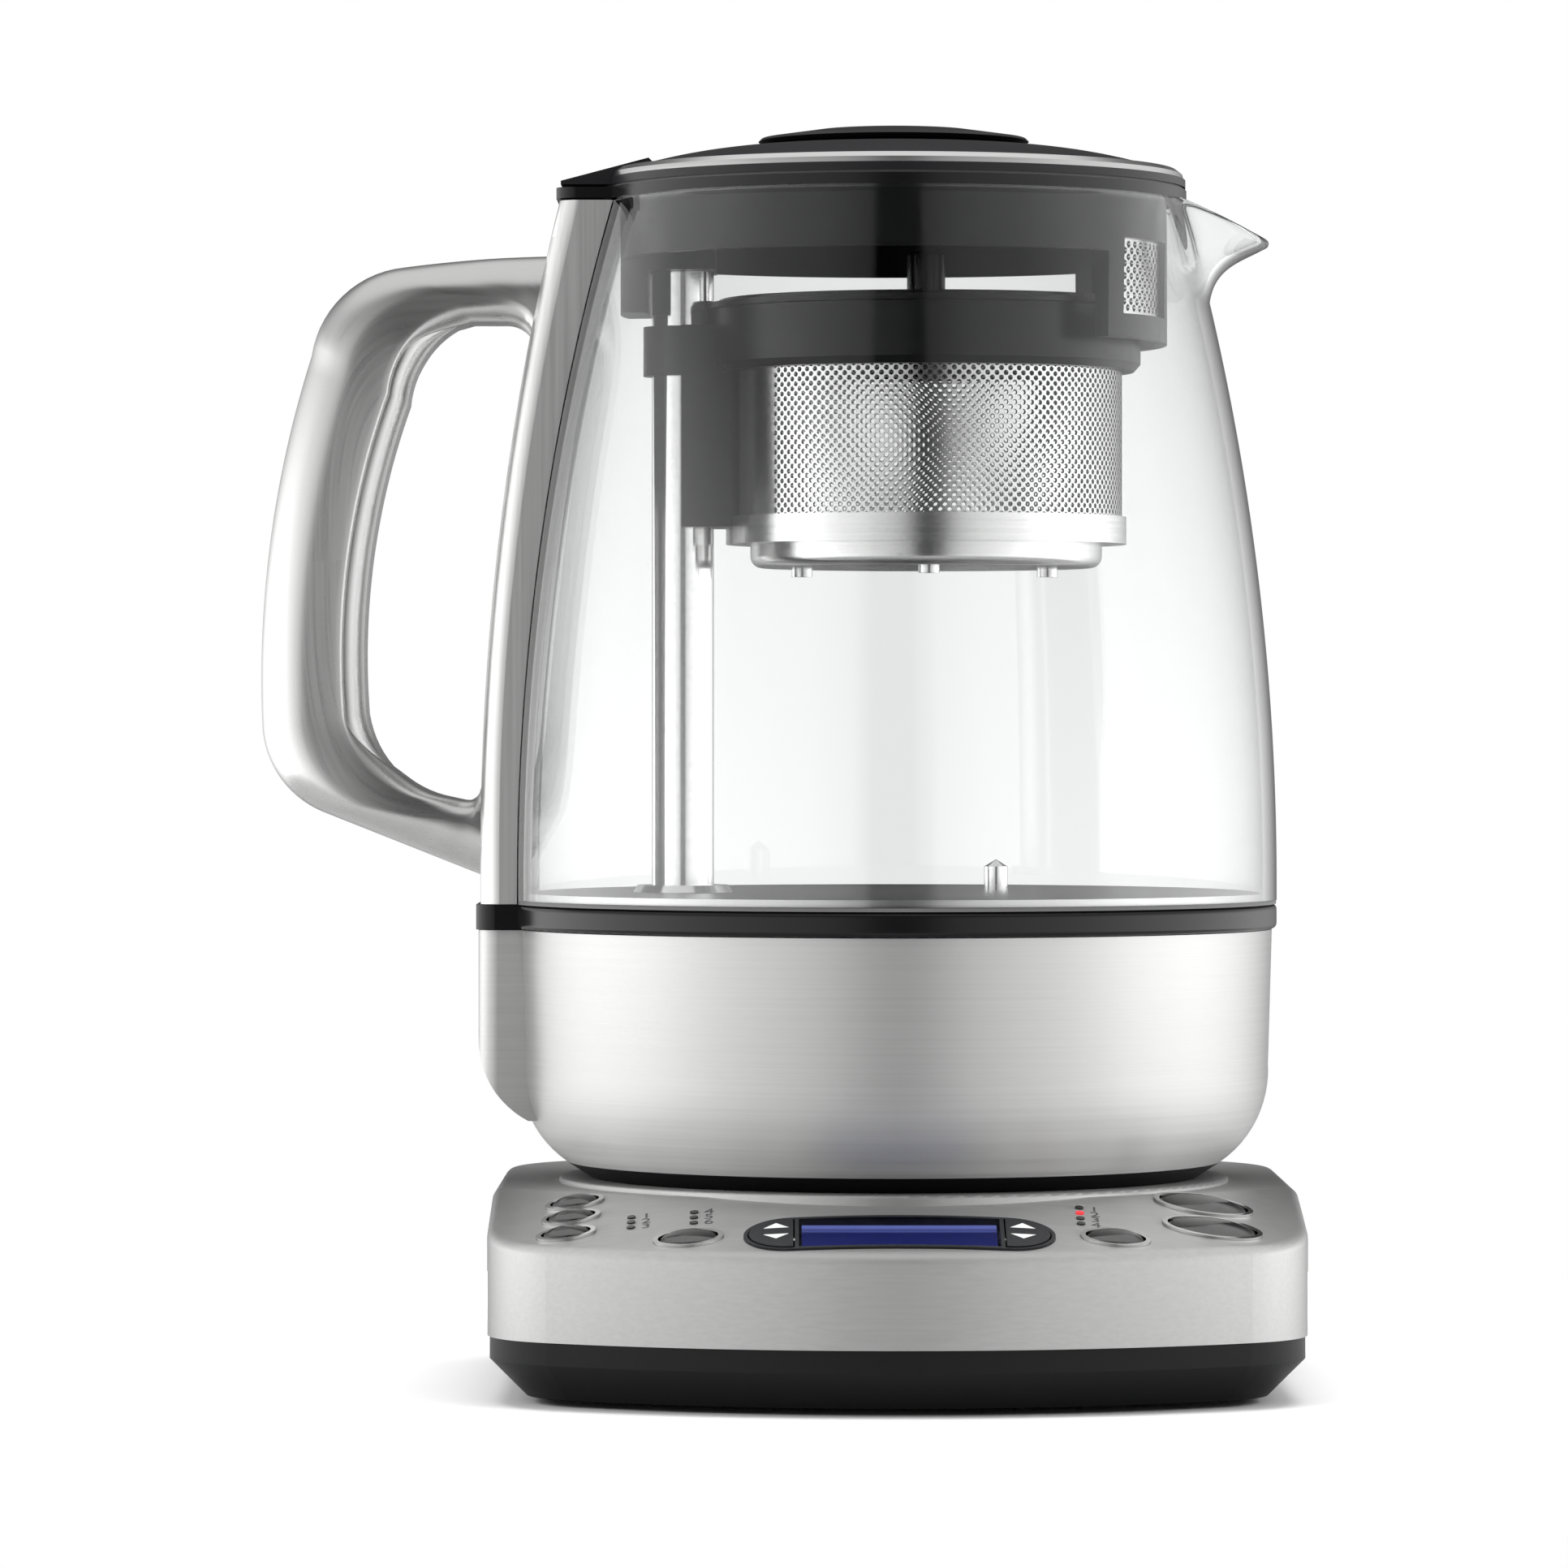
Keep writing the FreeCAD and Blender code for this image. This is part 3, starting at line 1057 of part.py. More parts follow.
def shell_form(label, inset, high):
    """Turned form of the steel base shell with the bulge under the column, moved inwards by inset."""
    knee = shell_knee - inset
    foot = shell_foot - inset
    drum = turned(label + "_drum", [(0.0, shell_low), (foot, shell_low),
                                    (knee, shell_knee_height, -(shell_corner - inset)),
                                    (shell_top_radius - inset, high), (0.0, high)])
    inner = shell_foot - 12.0
    reach = bulge_reach - inset
    bend = bulge_bend - inset
    bulge_end = bulge_foot - inset
    run = bulge_end - reach + bend
    bulge_low = bulge_bend_top - root(bend * bend - run * run)
    side = plate(label + "_side", [(-inner, high), (-inner, bulge_low), (-bulge_end, bulge_low),
                                   (-reach, bulge_bend_top, bend), (-reach, high)], column_half)
    plan = lobe_block(label + "_plan", reach, inner - 1.0, column_half - inset, bulge_low - 1.0, high + 1.0)
    return fused(label, [drum, common(label + "_bulge", side, plan)])


shell_high = collar_low - 0.1
shell_outer = shell_form("shell_outer", as_dim(0.0), shell_high)
shell_inner = shell_form("shell_inner", shell_wall, shell_high + 2.0)
keep(cut("shell_cut", shell_outer, shell_inner), "jug_base_shell")

# collar ring with its lobe under the column
collar_ring = turned("collar_turned", [(collar_bore, collar_low), (collar_radius, collar_low),
                                       (collar_radius, collar_high), (collar_bore, collar_high)])
rounded(collar_ring, collar_round,
        lambda edge, at: abs(math.hypot(at.x, at.y) - collar_radius.number) < 0.01)
lobe_reach = bulge_reach + 0.5
lobe_half = column_half + 0.5
lobe = lobe_block("collar_lobe", lobe_reach, collar_radius - 5.0, lobe_half, collar_low, collar_high)
keep(fused("collar_fused", [collar_ring, lobe]), "collar_ring")

keep(turned("gasket", [(collar_bore + 0.4, collar_high), (collar_radius - 0.1, collar_high),
                       (collar_radius - 0.1, glass_low), (collar_bore + 0.4, glass_low)]), "plate_seal")


def glass_radius(height, inset):
    """Radius of the glass wall at a height, moved inwards by inset."""
    rise = height - glass_tangent
    arc = glass_arc - inset
    return collar_radius - glass_arc + root(arc * arc - rise * rise)


def glass_form(label, inset, low, high):
    """Solid inside the glass wall's profile: upright foot, then one long arc."""
    foot = collar_radius - inset
    return turned(label, [(0.0, low), (foot, low), (foot, glass_tangent),
                          (glass_radius(high, inset), high, -(glass_arc - inset)), (0.0, high)])


def spout_section(reach, half, bottom, top):
    """Closed wire across the spout: a half ellipse below a straight upper edge."""
    left = FreeCAD.Vector(reach, -half, top)
    right = FreeCAD.Vector(reach, half, top)
    deep = top - bottom
    turn = [(-half * math.cos(step * math.pi / 12), top - deep * math.sin(step * math.pi / 12))
            for step in range(13)]
    curve = Part.BSplineCurve()
    curve.interpolate([FreeCAD.Vector(reach, y, z) for y, z in turn])
    return Part.Wire([curve.toShape(), Part.LineSegment(right, left).toShape()])


def spout_loft(label, thin, lift, extra):
    """Spout solid through its stations, thinned by thin and raised by lift above its edge."""
    wires = []
    for reach, half, bottom, top in spout_stations:
        wires.append(spout_section(reach.number, half.number - thin, bottom.number + thin,
                                   top.number + lift))
    if extra:
        wires.append(spout_section(reach.number + extra, half.number - thin, bottom.number + thin,
                                   top.number + lift))
    loft = doc.addObject("Part::Feature", label)
    loft.Shape = Part.makeLoft(wires, True, False)
    loft.Placement = FreeCAD.Placement()
    return loft


spout_outer = spout_loft("spout_outer", 0.0, 0.0, 0.0)
spout_inner = spout_loft("spout_inner", spout_wall.number, 1.2, 2.0)
glass_outer = glass_form("glass_outer", as_dim(0.0), glass_low, glass_top)
glass_inner = glass_form("glass_inner", glass_wall, glass_low - 1.0, glass_top + 1.0)
keep(cut("glass_cut", fused("glass_fused", [glass_outer, spout_outer]),
         fused("glass_tools", [glass_inner, spout_inner])), "glass_jug")

# heating plate, element, probe and drive in the jug's floor
plate_top = glass_low + plate_thick
post_hole = rod("post_hole", post_radius + running_fit, glass_low - 2.0, plate_top + 2.0, -post_from_axis)
probe_hole = rod("probe_hole", probe_radius + running_fit, glass_low - 2.0, plate_top + 2.0,
                 probe_side, probe_back)
plate_disc = rod("plate_disc", collar_radius - glass_wall - plate_gap, glass_low, plate_top)
keep(cut("plate_cut", plate_disc, fused("plate_tools", [post_hole, probe_hole])), "heating_plate")

heater = doc.addObject("Part::Torus", "heater")
bind(heater, "Radius1", heater_ring_radius)
bind(heater, "Radius2", heater_tube)
place(heater, 0.0, 0.0, glass_low - heater_tube - 0.05)
keep(heater, "heater_ring")

probe = turned("probe", [(0.0, glass_low - 8.0), (probe_radius + 2.0, glass_low - 8.0),
                         (probe_radius + 2.0, glass_low - 0.1), (probe_radius, glass_low - 0.1),
                         (probe_radius, plate_top + 5.0), (0.0, plate_top + 6.5)])
keep(place(probe, probe_side, probe_back, 0.0), "thermal_probe")

post_inner = post_radius - post_wall
post = turned("post", [(post_inner, post_low), (post_radius, post_low), (post_radius, post_high - 1.0),
                       (post_radius - 1.0, post_high), (0.0, post_high), (0.0, post_high - 1.0),
                       (post_inner, post_high - 1.0)])
keep(place(post, -post_from_axis, 0.0, 0.0), "guide_post")
flange = turned("post_flange", [(post_radius + running_fit, plate_top), (post_foot_radius, plate_top),
                                (post_foot_radius - 1.0, plate_top + post_foot_thick),
                                (post_radius + running_fit, plate_top + post_foot_thick)])
keep(place(flange, -post_from_axis, 0.0, 0.0), "post_foot")
motor = turned("motor", [(0.0, post_low - motor_length), (motor_radius - 2.0, post_low - motor_length),
                         (motor_radius, post_low - motor_length + 2.0), (motor_radius, post_low - 6.0),
                         (motor_radius + 3.0, post_low - 6.0), (motor_radius + 3.0, post_low),
                         (0.0, post_low)])
keep(place(motor, -post_from_axis, 0.0, 0.0), "lift_motor")
spindle = rod("spindle", spindle_radius, post_low + 0.3, post_high - 1.3, -post_from_axis)
keep(spindle, "lead_screw")
carrier_mid = (carriage_low + carriage_step) * 0.5
carrier_low = carrier_mid - carrier_length * 0.5
carrier = turned("carrier", [(spindle_radius + running_fit, carrier_low),
                             (post_inner - carrier_gap, carrier_low),
                             (post_inner - carrier_gap, carrier_low + carrier_length),
                             (spindle_radius + running_fit, carrier_low + carrier_length)])
keep(place(carrier, -post_from_axis, 0.0, 0.0), "magnet_carriage")


# ---------------------------------------------------------------- column, rim and handle


def column_line(height, inset):
    """Distance from the jug axis to the column's outer face at a height, moved inwards."""
    rise = height - column_tangent
    arc = column_arc - inset
    return column_reach - column_arc + root(arc * arc - rise * rise)


def column_form(label, inset, low, high):
    """Column prism from its outer face inwards."""
    near = rim_bore - 4.0
    body = plate(label, [(-near, low), (inset - column_reach, low), (inset - column_reach, column_tangent),
                         (-column_line(high, inset), high, column_arc - inset), (-near, high)],
                 column_half - inset)
    return rounded(body, column_round - inset * 0.5,
                   lambda edge, at: abs(abs(at.y) - column_half.number + as_dim(inset).number) < 0.01
                   and at.x < -near.number - 5.0 and at.z > low.number + 0.5 and at.z < high.number - 0.5)


column_solid = column_form("column_solid", as_dim(0.0), column_low, column_top)
column_hollow = column_form("column_hollow", column_wall, column_low - 2.0, column_top + 2.0)
core_solid = column_form("core_solid", column_wall + 0.05, column_low, column_top)
keepout = glass_form("glass_keepout", -column_gap, column_low - 4.0, column_top + 4.0)
handle_screws = []
screw_bores = []
for name, height in (("upper", handle_screw_high), ("lower", handle_screw_low)):
    face = -column_line(height, as_dim(0.0))
    tip = face - screw_grip
    end = face + screw_hold
    handle_screws.append(lying_rod(name + "_screw", handle_screw, tip, end, height))
    screw_bores.append(lying_rod(name + "_bore", handle_screw + running_fit, tip - running_fit,
                                 end + running_fit, height))
screw_holes = fused("handle_screw_holes", screw_bores)
keep(group("screws_of_handle", handle_screws), "handle_screws")
column_shell = cut("column_shell", column_solid, column_hollow)
keep(cut("column_cut", column_shell, fused("column_tools", [keepout, screw_holes])), "handle_column")
keep(cut("core_cut", core_solid, fused("core_tools", [keepout, screw_holes])), "column_core")

rim_low = glass_top + 0.05
rim = turned("rim", [(rim_bore, rim_low), (rim_radius, rim_low), (rim_radius, rim_top), (rim_bore, rim_top)])
tongue = lobe_block("tongue", tongue_reach, rim_radius - 8.0, column_half, rim_low, rim_top)
rim_mouth = rod("rim_mouth", rim_bore, rim_low - 1.0, rim_top + 1.0)
keep(cut("rim_cut", fused("rim_fused", [rim, tongue]), rim_mouth), "rim_ring")

# Handle, in (x, z). The outer line runs over the top arm, down the grip and back along the lower
# arm. The inner line bounds the finger gap, and the seam between shell and liner runs beside it.
outer_line = handle_lines["outer"]
inner_line = handle_lines["inner"]
outward = [(0.0, -1.0), (-0.22, -0.98), (-1.0, 0.0), (-0.94, 0.34), (-0.3, 0.95), (0.0, 1.0)]
seam_line = []
for corner, (out_x, out_z) in zip(inner_line, outward):
    spot = (corner[0] + out_x * liner_thick, corner[1] + out_z * liner_thick)
    seam_line.append(spot + tuple(radius + liner_thick for radius in corner[2:]))


def reversed_line(line):
    """The same line walked the other way."""
    back = []
    for index in range(len(line) - 1, -1, -1):
        radius = line[index + 1][2:] if index + 1 < len(line) else ()
        back.append(line[index][:2] + tuple(-value for value in radius))
    return back


def on_line(line, reach):
    """Test for points that lie within reach of a line's corners or arcs, beside its ends."""
    spots = [FreeCAD.Vector(as_dim(corner[0]).number, 0, as_dim(corner[1]).number) for corner in line]
    walk = []
    for index in range(1, len(line)):
        flat = [FreeCAD.Vector(spot.x, spot.z, 0) for spot in spots[index - 1:index + 1]]
        if len(line[index]) == 3:
            arc = arc_through(flat[0], flat[1], as_dim(line[index][2]).number)[0].toShape()
        else:
            arc = Part.LineSegment(flat[0], flat[1]).toShape()
        walk.append(arc)
    path = Part.Compound(walk)
    return lambda point: path.distToShape(Part.Vertex(point.x, point.z, 0))[0] < reach


near_outside = on_line(outer_line, 0.05)
shell_form_body = plate("handle_outer", outer_line + seam_line, handle_half)
rounded(shell_form_body, handle_round,
        lambda edge, at: abs(abs(at.y) - handle_half.number) < 0.01 and near_outside(at))
liner_form_body = plate("handle_inner", inner_line + reversed_line(seam_line), liner_half)
handle_tools = fused("handle_tools", [column_solid, screw_holes])
keep(cut("handle_cut", shell_form_body, handle_tools), "handle_shell")
keep(cut("liner_cut", liner_form_body, handle_tools), "handle_liner")


# ---------------------------------------------------------------- basket

sleeve_bore = post_radius + carriage_gap
collar_inner = basket_radius + basket_fit
collar_body = turned("basket_collar_turned", [
    (collar_inner, basket_collar_low), (basket_collar_radius - 1.3, basket_collar_low),
    (basket_collar_radius, basket_collar_low + 1.5), (basket_collar_radius, basket_collar_top - 1.4),
    (basket_lip, basket_collar_top - 1.2), (basket_lip, basket_collar_top),
    (basket_collar_bore, basket_collar_top), (basket_collar_bore, basket_high + basket_fit),
    (collar_inner, basket_high + basket_fit)])
place(collar_body, basket_offset, 0.0, 0.0)

web_near = basket_offset - floor_ring - running_fit
sleeve = rod("sleeve", carriage_radius, carriage_step, carriage_high, -post_from_axis)
web = block("web", -post_from_axis, web_near + 2.0, -carriage_half, carriage_half, carriage_low,
            carriage_high)
carriage_bore = rod("carriage_bore", sleeve_bore, carriage_low - 1.0, basket_collar_top + 1.0,
                    -post_from_axis)
basket_room = rod("basket_room", floor_ring + running_fit, carriage_low - 2.0, basket_collar_top + 1.0,
                  basket_offset)
magnet_low = carrier_mid - magnet_length * 0.5
magnets = []
for index, side in enumerate((-1, 1)):
    middle = side * (carriage_half - 0.8 - magnet_thick * 0.5)
    magnets.append(block("magnet_%d" % index, 0.6 - post_from_axis, 0.6 - post_from_axis + magnet_width,
                         middle - magnet_thick * 0.5, middle + magnet_thick * 0.5,
                         magnet_low, magnet_low + magnet_length))
keep(group("magnets", magnets), "basket_magnets")
carriage_solid = fused("carriage_solid", [sleeve, web])
keep(cut("carriage_cut", carriage_solid, fused("carriage_tools", [carriage_bore, basket_room] + magnets)),
     "basket_carriage")
keep(cut("basket_collar_cut", collar_body, fused("collar_tools", [
    cut("carriage_mass", carriage_solid, basket_room), carriage_bore])), "basket_collar")

mesh = turned("mesh", [(basket_radius - basket_wall, basket_low), (basket_radius, basket_low),
                       (basket_radius, basket_high), (basket_radius - basket_wall, basket_high)])
keep(place(mesh, basket_offset, 0.0, 0.0), "basket_mesh")

cup_body = turned("cup_body", [
    (0.0, cup_low), (cup_radius - cup_round, cup_low), (cup_radius, cup_low + cup_round, -cup_round),
    (cup_radius, floor_ring_low), (floor_ring, floor_ring_low), (floor_ring, floor_ring_high),
    (collar_inner, floor_ring_high), (collar_inner, basket_low - basket_fit),
    (cup_radius - cup_wall, basket_low - basket_fit), (cup_radius - cup_wall, cup_low + cup_round),
    (cup_radius - cup_round, cup_low + cup_wall, cup_round - cup_wall), (0.0, cup_low + cup_wall)])
place(cup_body, basket_offset, 0.0, 0.0)
studs = []
for index in range(3):
    angle = math.radians(-90 + 120 * index)
    studs.append(rod("stud_%d" % index, stud_radius, cup_low - stud_height, cup_low + 0.5,
                     basket_offset + stud_circle * math.cos(angle), stud_circle * math.sin(angle)))
slots = []
slot_count = 12
for index in range(slot_count):
    slot = block("slot_%d" % index, as_dim(9.0), as_dim(22.0), as_dim(-0.8), as_dim(0.8),
                 cup_low - 1.0, cup_low + cup_wall + 1.0)
    turn = FreeCAD.Rotation(FreeCAD.Vector(0, 0, 1), 360.0 * index / slot_count)
    holder = doc.addObject("Part::Compound", "slot_turned_%d" % index)
    holder.Links = [slot]
    holder.Placement.Rotation = turn
    slots.append(place(holder, basket_offset, 0.0, 0.0))
keep(cut("cup_cut", fused("cup_fused", [cup_body] + studs), fused("slots", slots)), "basket_floor")

cap = turned("cap", [(0.0, basket_collar_top - 2.4), (cap_plug, basket_collar_top - 2.4),
                     (cap_plug, basket_collar_top + 0.1), (cap_radius, basket_collar_top + 0.1),
                     (cap_radius, basket_collar_top + 0.8),
                     (cap_stem + 3.0, basket_collar_top + 0.1 + cap_thick),
                     (cap_stem, basket_collar_top + cap_thick + 1.2), (cap_stem, cap_stem_top - 0.8),
                     (cap_stem - 0.8, cap_stem_top), (0.0, cap_stem_top)])
keep(place(cap, basket_offset, 0.0, 0.0), "basket_lid")


# ---------------------------------------------------------------- jug lid

lid_low = rim_top + 0.05 + lid_seal_thick
dome_inner = dome_arc - dome_wall
lid_body = turned("lid_body", [
    (0.0, dome_top - dome_wall), (dome_flat + 1.0, dome_top - dome_wall),
    (skirt_radius - 1.8, dome_edge - dome_wall + 0.4, dome_inner),
    (skirt_radius - 1.8, lid_low), (lid_radius, lid_low), (lid_radius, lid_rim_top),
    (trim_inner, lid_rim_top), (trim_inner, dome_edge), (dome_flat, dome_top, -dome_arc), (0.0, dome_top)])
tab_half = column_half - 0.5
tab_end = -tongue_reach + 1.0
tab_near = 0.5 - trim_inner
tab_crown = dome_edge + 2.0
tab = plate("lid_tab", [(tab_end, lid_low), (tab_near, lid_low), (tab_near, lid_rim_top + 0.1),
                        (tab_near + 7.0, tab_crown - 1.5), (tab_near + 5.5, tab_crown),
                        (tab_end, lid_low + 0.75)], tab_half)
keep(fused("lid_fused", [lid_body, tab]), "lid_cover")
trim = turned("trim", [(trim_inner, lid_rim_top), (trim_outer, lid_rim_top),
                       (trim_outer - 0.3, trim_top - 1.2), (trim_outer - 1.6, trim_top - 0.2),
                       (trim_inner, trim_top)])
tab_room = block("tab_room", -lid_radius - 4.0, as_dim(-30.0), -tab_half, tab_half, lid_low, dome_top)
keep(cut("trim_cut", trim, tab_room), "lid_trim")
keep(turned("seal_ring", [(rim_bore + 0.3, rim_top + 0.05), (rim_radius - 0.8, rim_top + 0.05),
                          (rim_radius - 0.8, lid_low), (rim_bore + 0.3, lid_low)]), "lid_seal")
knob_low = dome_top
keep(turned("knob", [(0.0, knob_low), (knob_neck, knob_low), (knob_neck, knob_low + 0.5),
                     (knob_radius - 1.5, knob_low + 0.7), (knob_radius, knob_edge - 0.6),
                     (knob_radius - 0.6, knob_edge), (knob_radius * 0.6, knob_top - 0.3),
                     (0.0, knob_top)]), "lid_knob")

skirt_bore = skirt_radius - skirt_wall
skirt = turned("skirt", [(skirt_bore, skirt_low), (skirt_radius, skirt_low), (skirt_radius, lid_low),
                         (skirt_bore, lid_low)])
inside = rod("skirt_inside", skirt_radius, apron_low - 4.0, lid_low)
keeper_block = block("keeper_block", -skirt_radius, -keeper_near, -keeper_half, keeper_half,
                     keeper_low, lid_low)
keeper_tongue = block("keeper_tongue", -skirt_radius, -(post_from_axis + post_radius + keeper_gap),
                      -keeper_half, keeper_half, keeper_tongue_low, keeper_low + 1.0)
keeper = common("keeper", fused("keeper_fused", [keeper_block, keeper_tongue]), inside)
apron_ring = turned("apron_ring", [(skirt_bore, apron_low), (skirt_radius, apron_low),
                                   (skirt_radius, skirt_low + 1.0), (skirt_bore, skirt_low + 1.0)])
apron_room = block("apron_room", as_dim(0.0), 2.0 * skirt_radius, -apron_half, apron_half,
                   apron_low - 1.0, skirt_low + 2.0)
apron = common("apron", apron_ring, apron_room)
post_pocket = rod("post_pocket", post_radius + keeper_gap, keeper_low - 1.0, post_high + 1.0,
                  -post_from_axis)
windows = []
for index, side in enumerate((-1, 1)):
    low_y = side * filter_near if side > 0 else side * filter_far
    high_y = side * filter_far if side > 0 else side * filter_near
    windows.append(block("filter_window_%d" % index, as_dim(20.0), 2.0 * skirt_radius, low_y, high_y,
                         filter_low, filter_high))
keep(cut("skirt_cut", fused("skirt_fused", [skirt, keeper, apron]),
         fused("skirt_tools", [post_pocket] + windows)), "lid_skirt")
filter_mid = skirt_radius - skirt_wall * 0.5
sheet_ring = turned("sheet_ring", [(filter_mid - filter_sheet, filter_low), (filter_mid, filter_low),
                                   (filter_mid, filter_high), (filter_mid - filter_sheet, filter_high)])
keep(common("filter_sheets", sheet_ring, group("filter_rooms", windows)), "spout_filter")
doc.recompute()


# ---------------------------------------------------------------- check and export

problems = [item.Name for item in doc.Objects if "Invalid" in item.State or "Error" in item.State]
if problems:
    raise RuntimeError("objects not recomputed: %s" % ", ".join(problems))
os.makedirs("parts", exist_ok=True)
for item in kept + [item for item in doc.Objects if hasattr(item, "Shape")]:
    if item.isDerivedFrom("App::Origin") or item.isDerivedFrom("App::DatumElement"):
        continue
    if item.Shape.isNull() or not item.Shape.isValid():
        raise RuntimeError("no valid shape: %s" % item.Label)
for item in kept:
    item.Shape.exportStep("parts/%s.step" % item.Label)
    box = item.Shape.BoundBox
    print("%-20s solids %d  volume %10.2f  X %8.2f %8.2f  Y %8.2f %8.2f  Z %8.2f %8.2f" % (
        item.Label, len(item.Shape.Solids), item.Shape.Volume, box.XMin, box.XMax, box.YMin, box.YMax,
        box.ZMin, box.ZMax))
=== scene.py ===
"""Automatic tea maker: glass jug, tea basket and powered base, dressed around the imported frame.

Laid out like an add-on: each piece has its own operator, and main() calls them in order.
"""
import math

import bmesh
import bpy
import numpy as np
from bpy.props import FloatProperty, FloatVectorProperty, PointerProperty
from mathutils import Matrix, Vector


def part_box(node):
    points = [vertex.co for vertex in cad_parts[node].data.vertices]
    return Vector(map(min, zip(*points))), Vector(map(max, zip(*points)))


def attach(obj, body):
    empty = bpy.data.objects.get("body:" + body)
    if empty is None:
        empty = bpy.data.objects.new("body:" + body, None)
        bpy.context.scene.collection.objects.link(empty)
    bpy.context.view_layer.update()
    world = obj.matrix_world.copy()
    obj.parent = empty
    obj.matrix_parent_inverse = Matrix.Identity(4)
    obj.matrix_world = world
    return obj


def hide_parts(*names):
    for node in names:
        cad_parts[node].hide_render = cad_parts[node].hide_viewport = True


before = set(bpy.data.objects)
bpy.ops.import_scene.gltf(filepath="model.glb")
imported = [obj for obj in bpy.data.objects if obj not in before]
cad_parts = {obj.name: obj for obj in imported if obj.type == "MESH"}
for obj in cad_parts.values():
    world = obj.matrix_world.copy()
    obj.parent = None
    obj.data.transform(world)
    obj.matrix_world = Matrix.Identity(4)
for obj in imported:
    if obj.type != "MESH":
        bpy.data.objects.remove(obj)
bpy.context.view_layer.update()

bl_info = {
    "name": "Automatic tea maker",
    "version": (1, 0, 0),
    "blender": (4, 5, 0),
    "location": "View3D > Sidebar > Tea maker",
    "description": "Finishes, glass, perforated basket and printed panel of an automatic tea maker",
    "category": "Object",
}

MM = 0.001
FINISH = "_finish"       # keeps the finishes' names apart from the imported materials' names
IMAGE_SIDE = 1932        # pixels
SENSOR_WIDTH = 36.0      # millimetres


# ---- settings


def amount(name, description, default, **kind):
    """Setting of one number."""
    return FloatProperty(name=name, description=description, default=default, **kind)


def tint(name, description, default):
    """Setting of a colour."""
    return FloatVectorProperty(name=name, description=description, default=default,
                               subtype="COLOR")


class TeaMakerSizes(bpy.types.PropertyGroup):
    """Sizes of the pieces that are made here, in millimetres like the part's own."""

    glass_low: amount("Glass foot", "Lower edge of the glass wall", 100.4)
    glass_tangent: amount("Glass tangent", "Height where the glass starts to lean in", 104.0)
    glass_top: amount("Glass top", "Rim of the glass", 246.0)
    glass_foot: amount("Glass radius", "Radius at the foot", 80.1)
    glass_arc: amount("Glass arc", "Radius of the wall's profile", 529.4)
    glass_wall: amount("Glass thickness", "Thickness of the wall", 2.8)
    spout_root: amount("Spout root", "Height where the spout leaves the wall", 225.0)
    spout_spread: amount("Spout spread", "Half angle of the spout, in degrees", 21.0)
    basket_axis: amount("Basket axis", "Basket's axis beside the jug's", 6.8)
    basket_radius: amount("Basket radius", "Outside of the basket's wall", 41.0)
    basket_wall: amount("Basket wall", "Thickness of the steel", 0.6)
    hole_pitch: amount("Hole pitch", "Hole to hole along a row", 1.98)
    hole_radius: amount("Hole radius", "Radius of a drain hole", 0.56)
    plain_half_angle: amount(
        "Plain strip", "Half angle without holes at the carriage, in degrees", 40.0)
    filter_radius: amount("Filter radius", "Outside of the spout filter", 56.2)
    filter_sheet: amount("Filter sheet", "Thickness of the filter", 0.5)
    filter_pitch: amount("Filter pitch", "Hole to hole along a row", 2.6)
    filter_hole: amount("Filter hole", "Radius of a filter hole", 0.75)
    handle_half: amount("Handle half width", "Half the handle's width", 13.0)
    liner_half: amount("Liner half width", "Half the liner's width", 10.5)
    liner_thick: amount("Liner thickness", "Thickness of the grip's inner strip", 4.2)
    base_half_width: amount("Base half width", "Middle of the base to its side", 83.0)
    display_ahead: amount("Display", "Middle of the display ahead of the jug's axis", 85.3)
    rocker_beside: amount("Rocker", "Middle of a rocker beside the display's", 25.6)
    rocker_proud: amount("Rocker height", "Face of a rocker above the panel", 0.7)
    button_proud: amount("Button height", "Top of a button above the panel", 1.8)
    button_depth: amount("Button depth", "Foot of a button below the panel", 4.5)
    bow_radius: amount("Bow radius", "Radius of the base's bowed front", 135.6)
    bow_centre: amount("Bow centre", "Centre of the bow behind the jug's axis", 37.6)
    band_top: amount("Band top", "Upper edge of the front band", 32.5)
    panel_slope: amount("Panel slope", "Rise of the panel per length", 0.28)


class TeaMakerFinishes(bpy.types.PropertyGroup):
    """Colours and roughness of the finishes."""

    steel: tint("Steel", "Stainless steel", (0.72, 0.72, 0.715))
    steel_roughness: amount("Steel roughness", "Brushed steel", 0.52)
    black: tint("Black", "Black plastic", (0.0045, 0.0045, 0.005))
    smoke: tint("Smoke", "Smoky plastic", (0.009, 0.009, 0.0095))
    pad_grey: tint("Pad grey", "Display frame and rockers", (0.016, 0.0165, 0.018))
    display_blue: tint("Display blue", "Lit display", (0.012, 0.018, 0.14))
    lamp_red: tint("Lamp red", "Lit lamp", (0.75, 0.03, 0.04))


class TeaMakerStage(bpy.types.PropertyGroup):
    """Camera, lamps and floor."""

    distance: amount("Distance", "Camera to jug axis", 1.615, unit="LENGTH")
    focal_pixels: amount("Focal length", "In image pixels", 9500.0)
    eye_height: amount("Height", "Camera above the table", 0.1374, unit="LENGTH")
    axis_column: amount("Axis column", "Image column of the jug axis", 1101.0)
    horizon_row: amount("Horizon row", "Image row of the horizon", 890.0)
    ambient: amount("Ambient", "Diffuse light of the surroundings", 0.4)
    ceiling: amount("Ceiling", "Brightness overhead in reflections", 1.1)
    # floor's glow right by the object; below 1 it paints shadow round the object
    floor_glow: amount("Floor glow", "Lift of the floor by the object", 0.0)
    floor_radius: amount("Floor radius", "Its edge is lost in white", 0.33, unit="LENGTH")
    # the floor's grey in reflections is a painted shade
    floor_dark: amount("Floor in reflections", "Grey of the floor where it is reflected", 0.5)


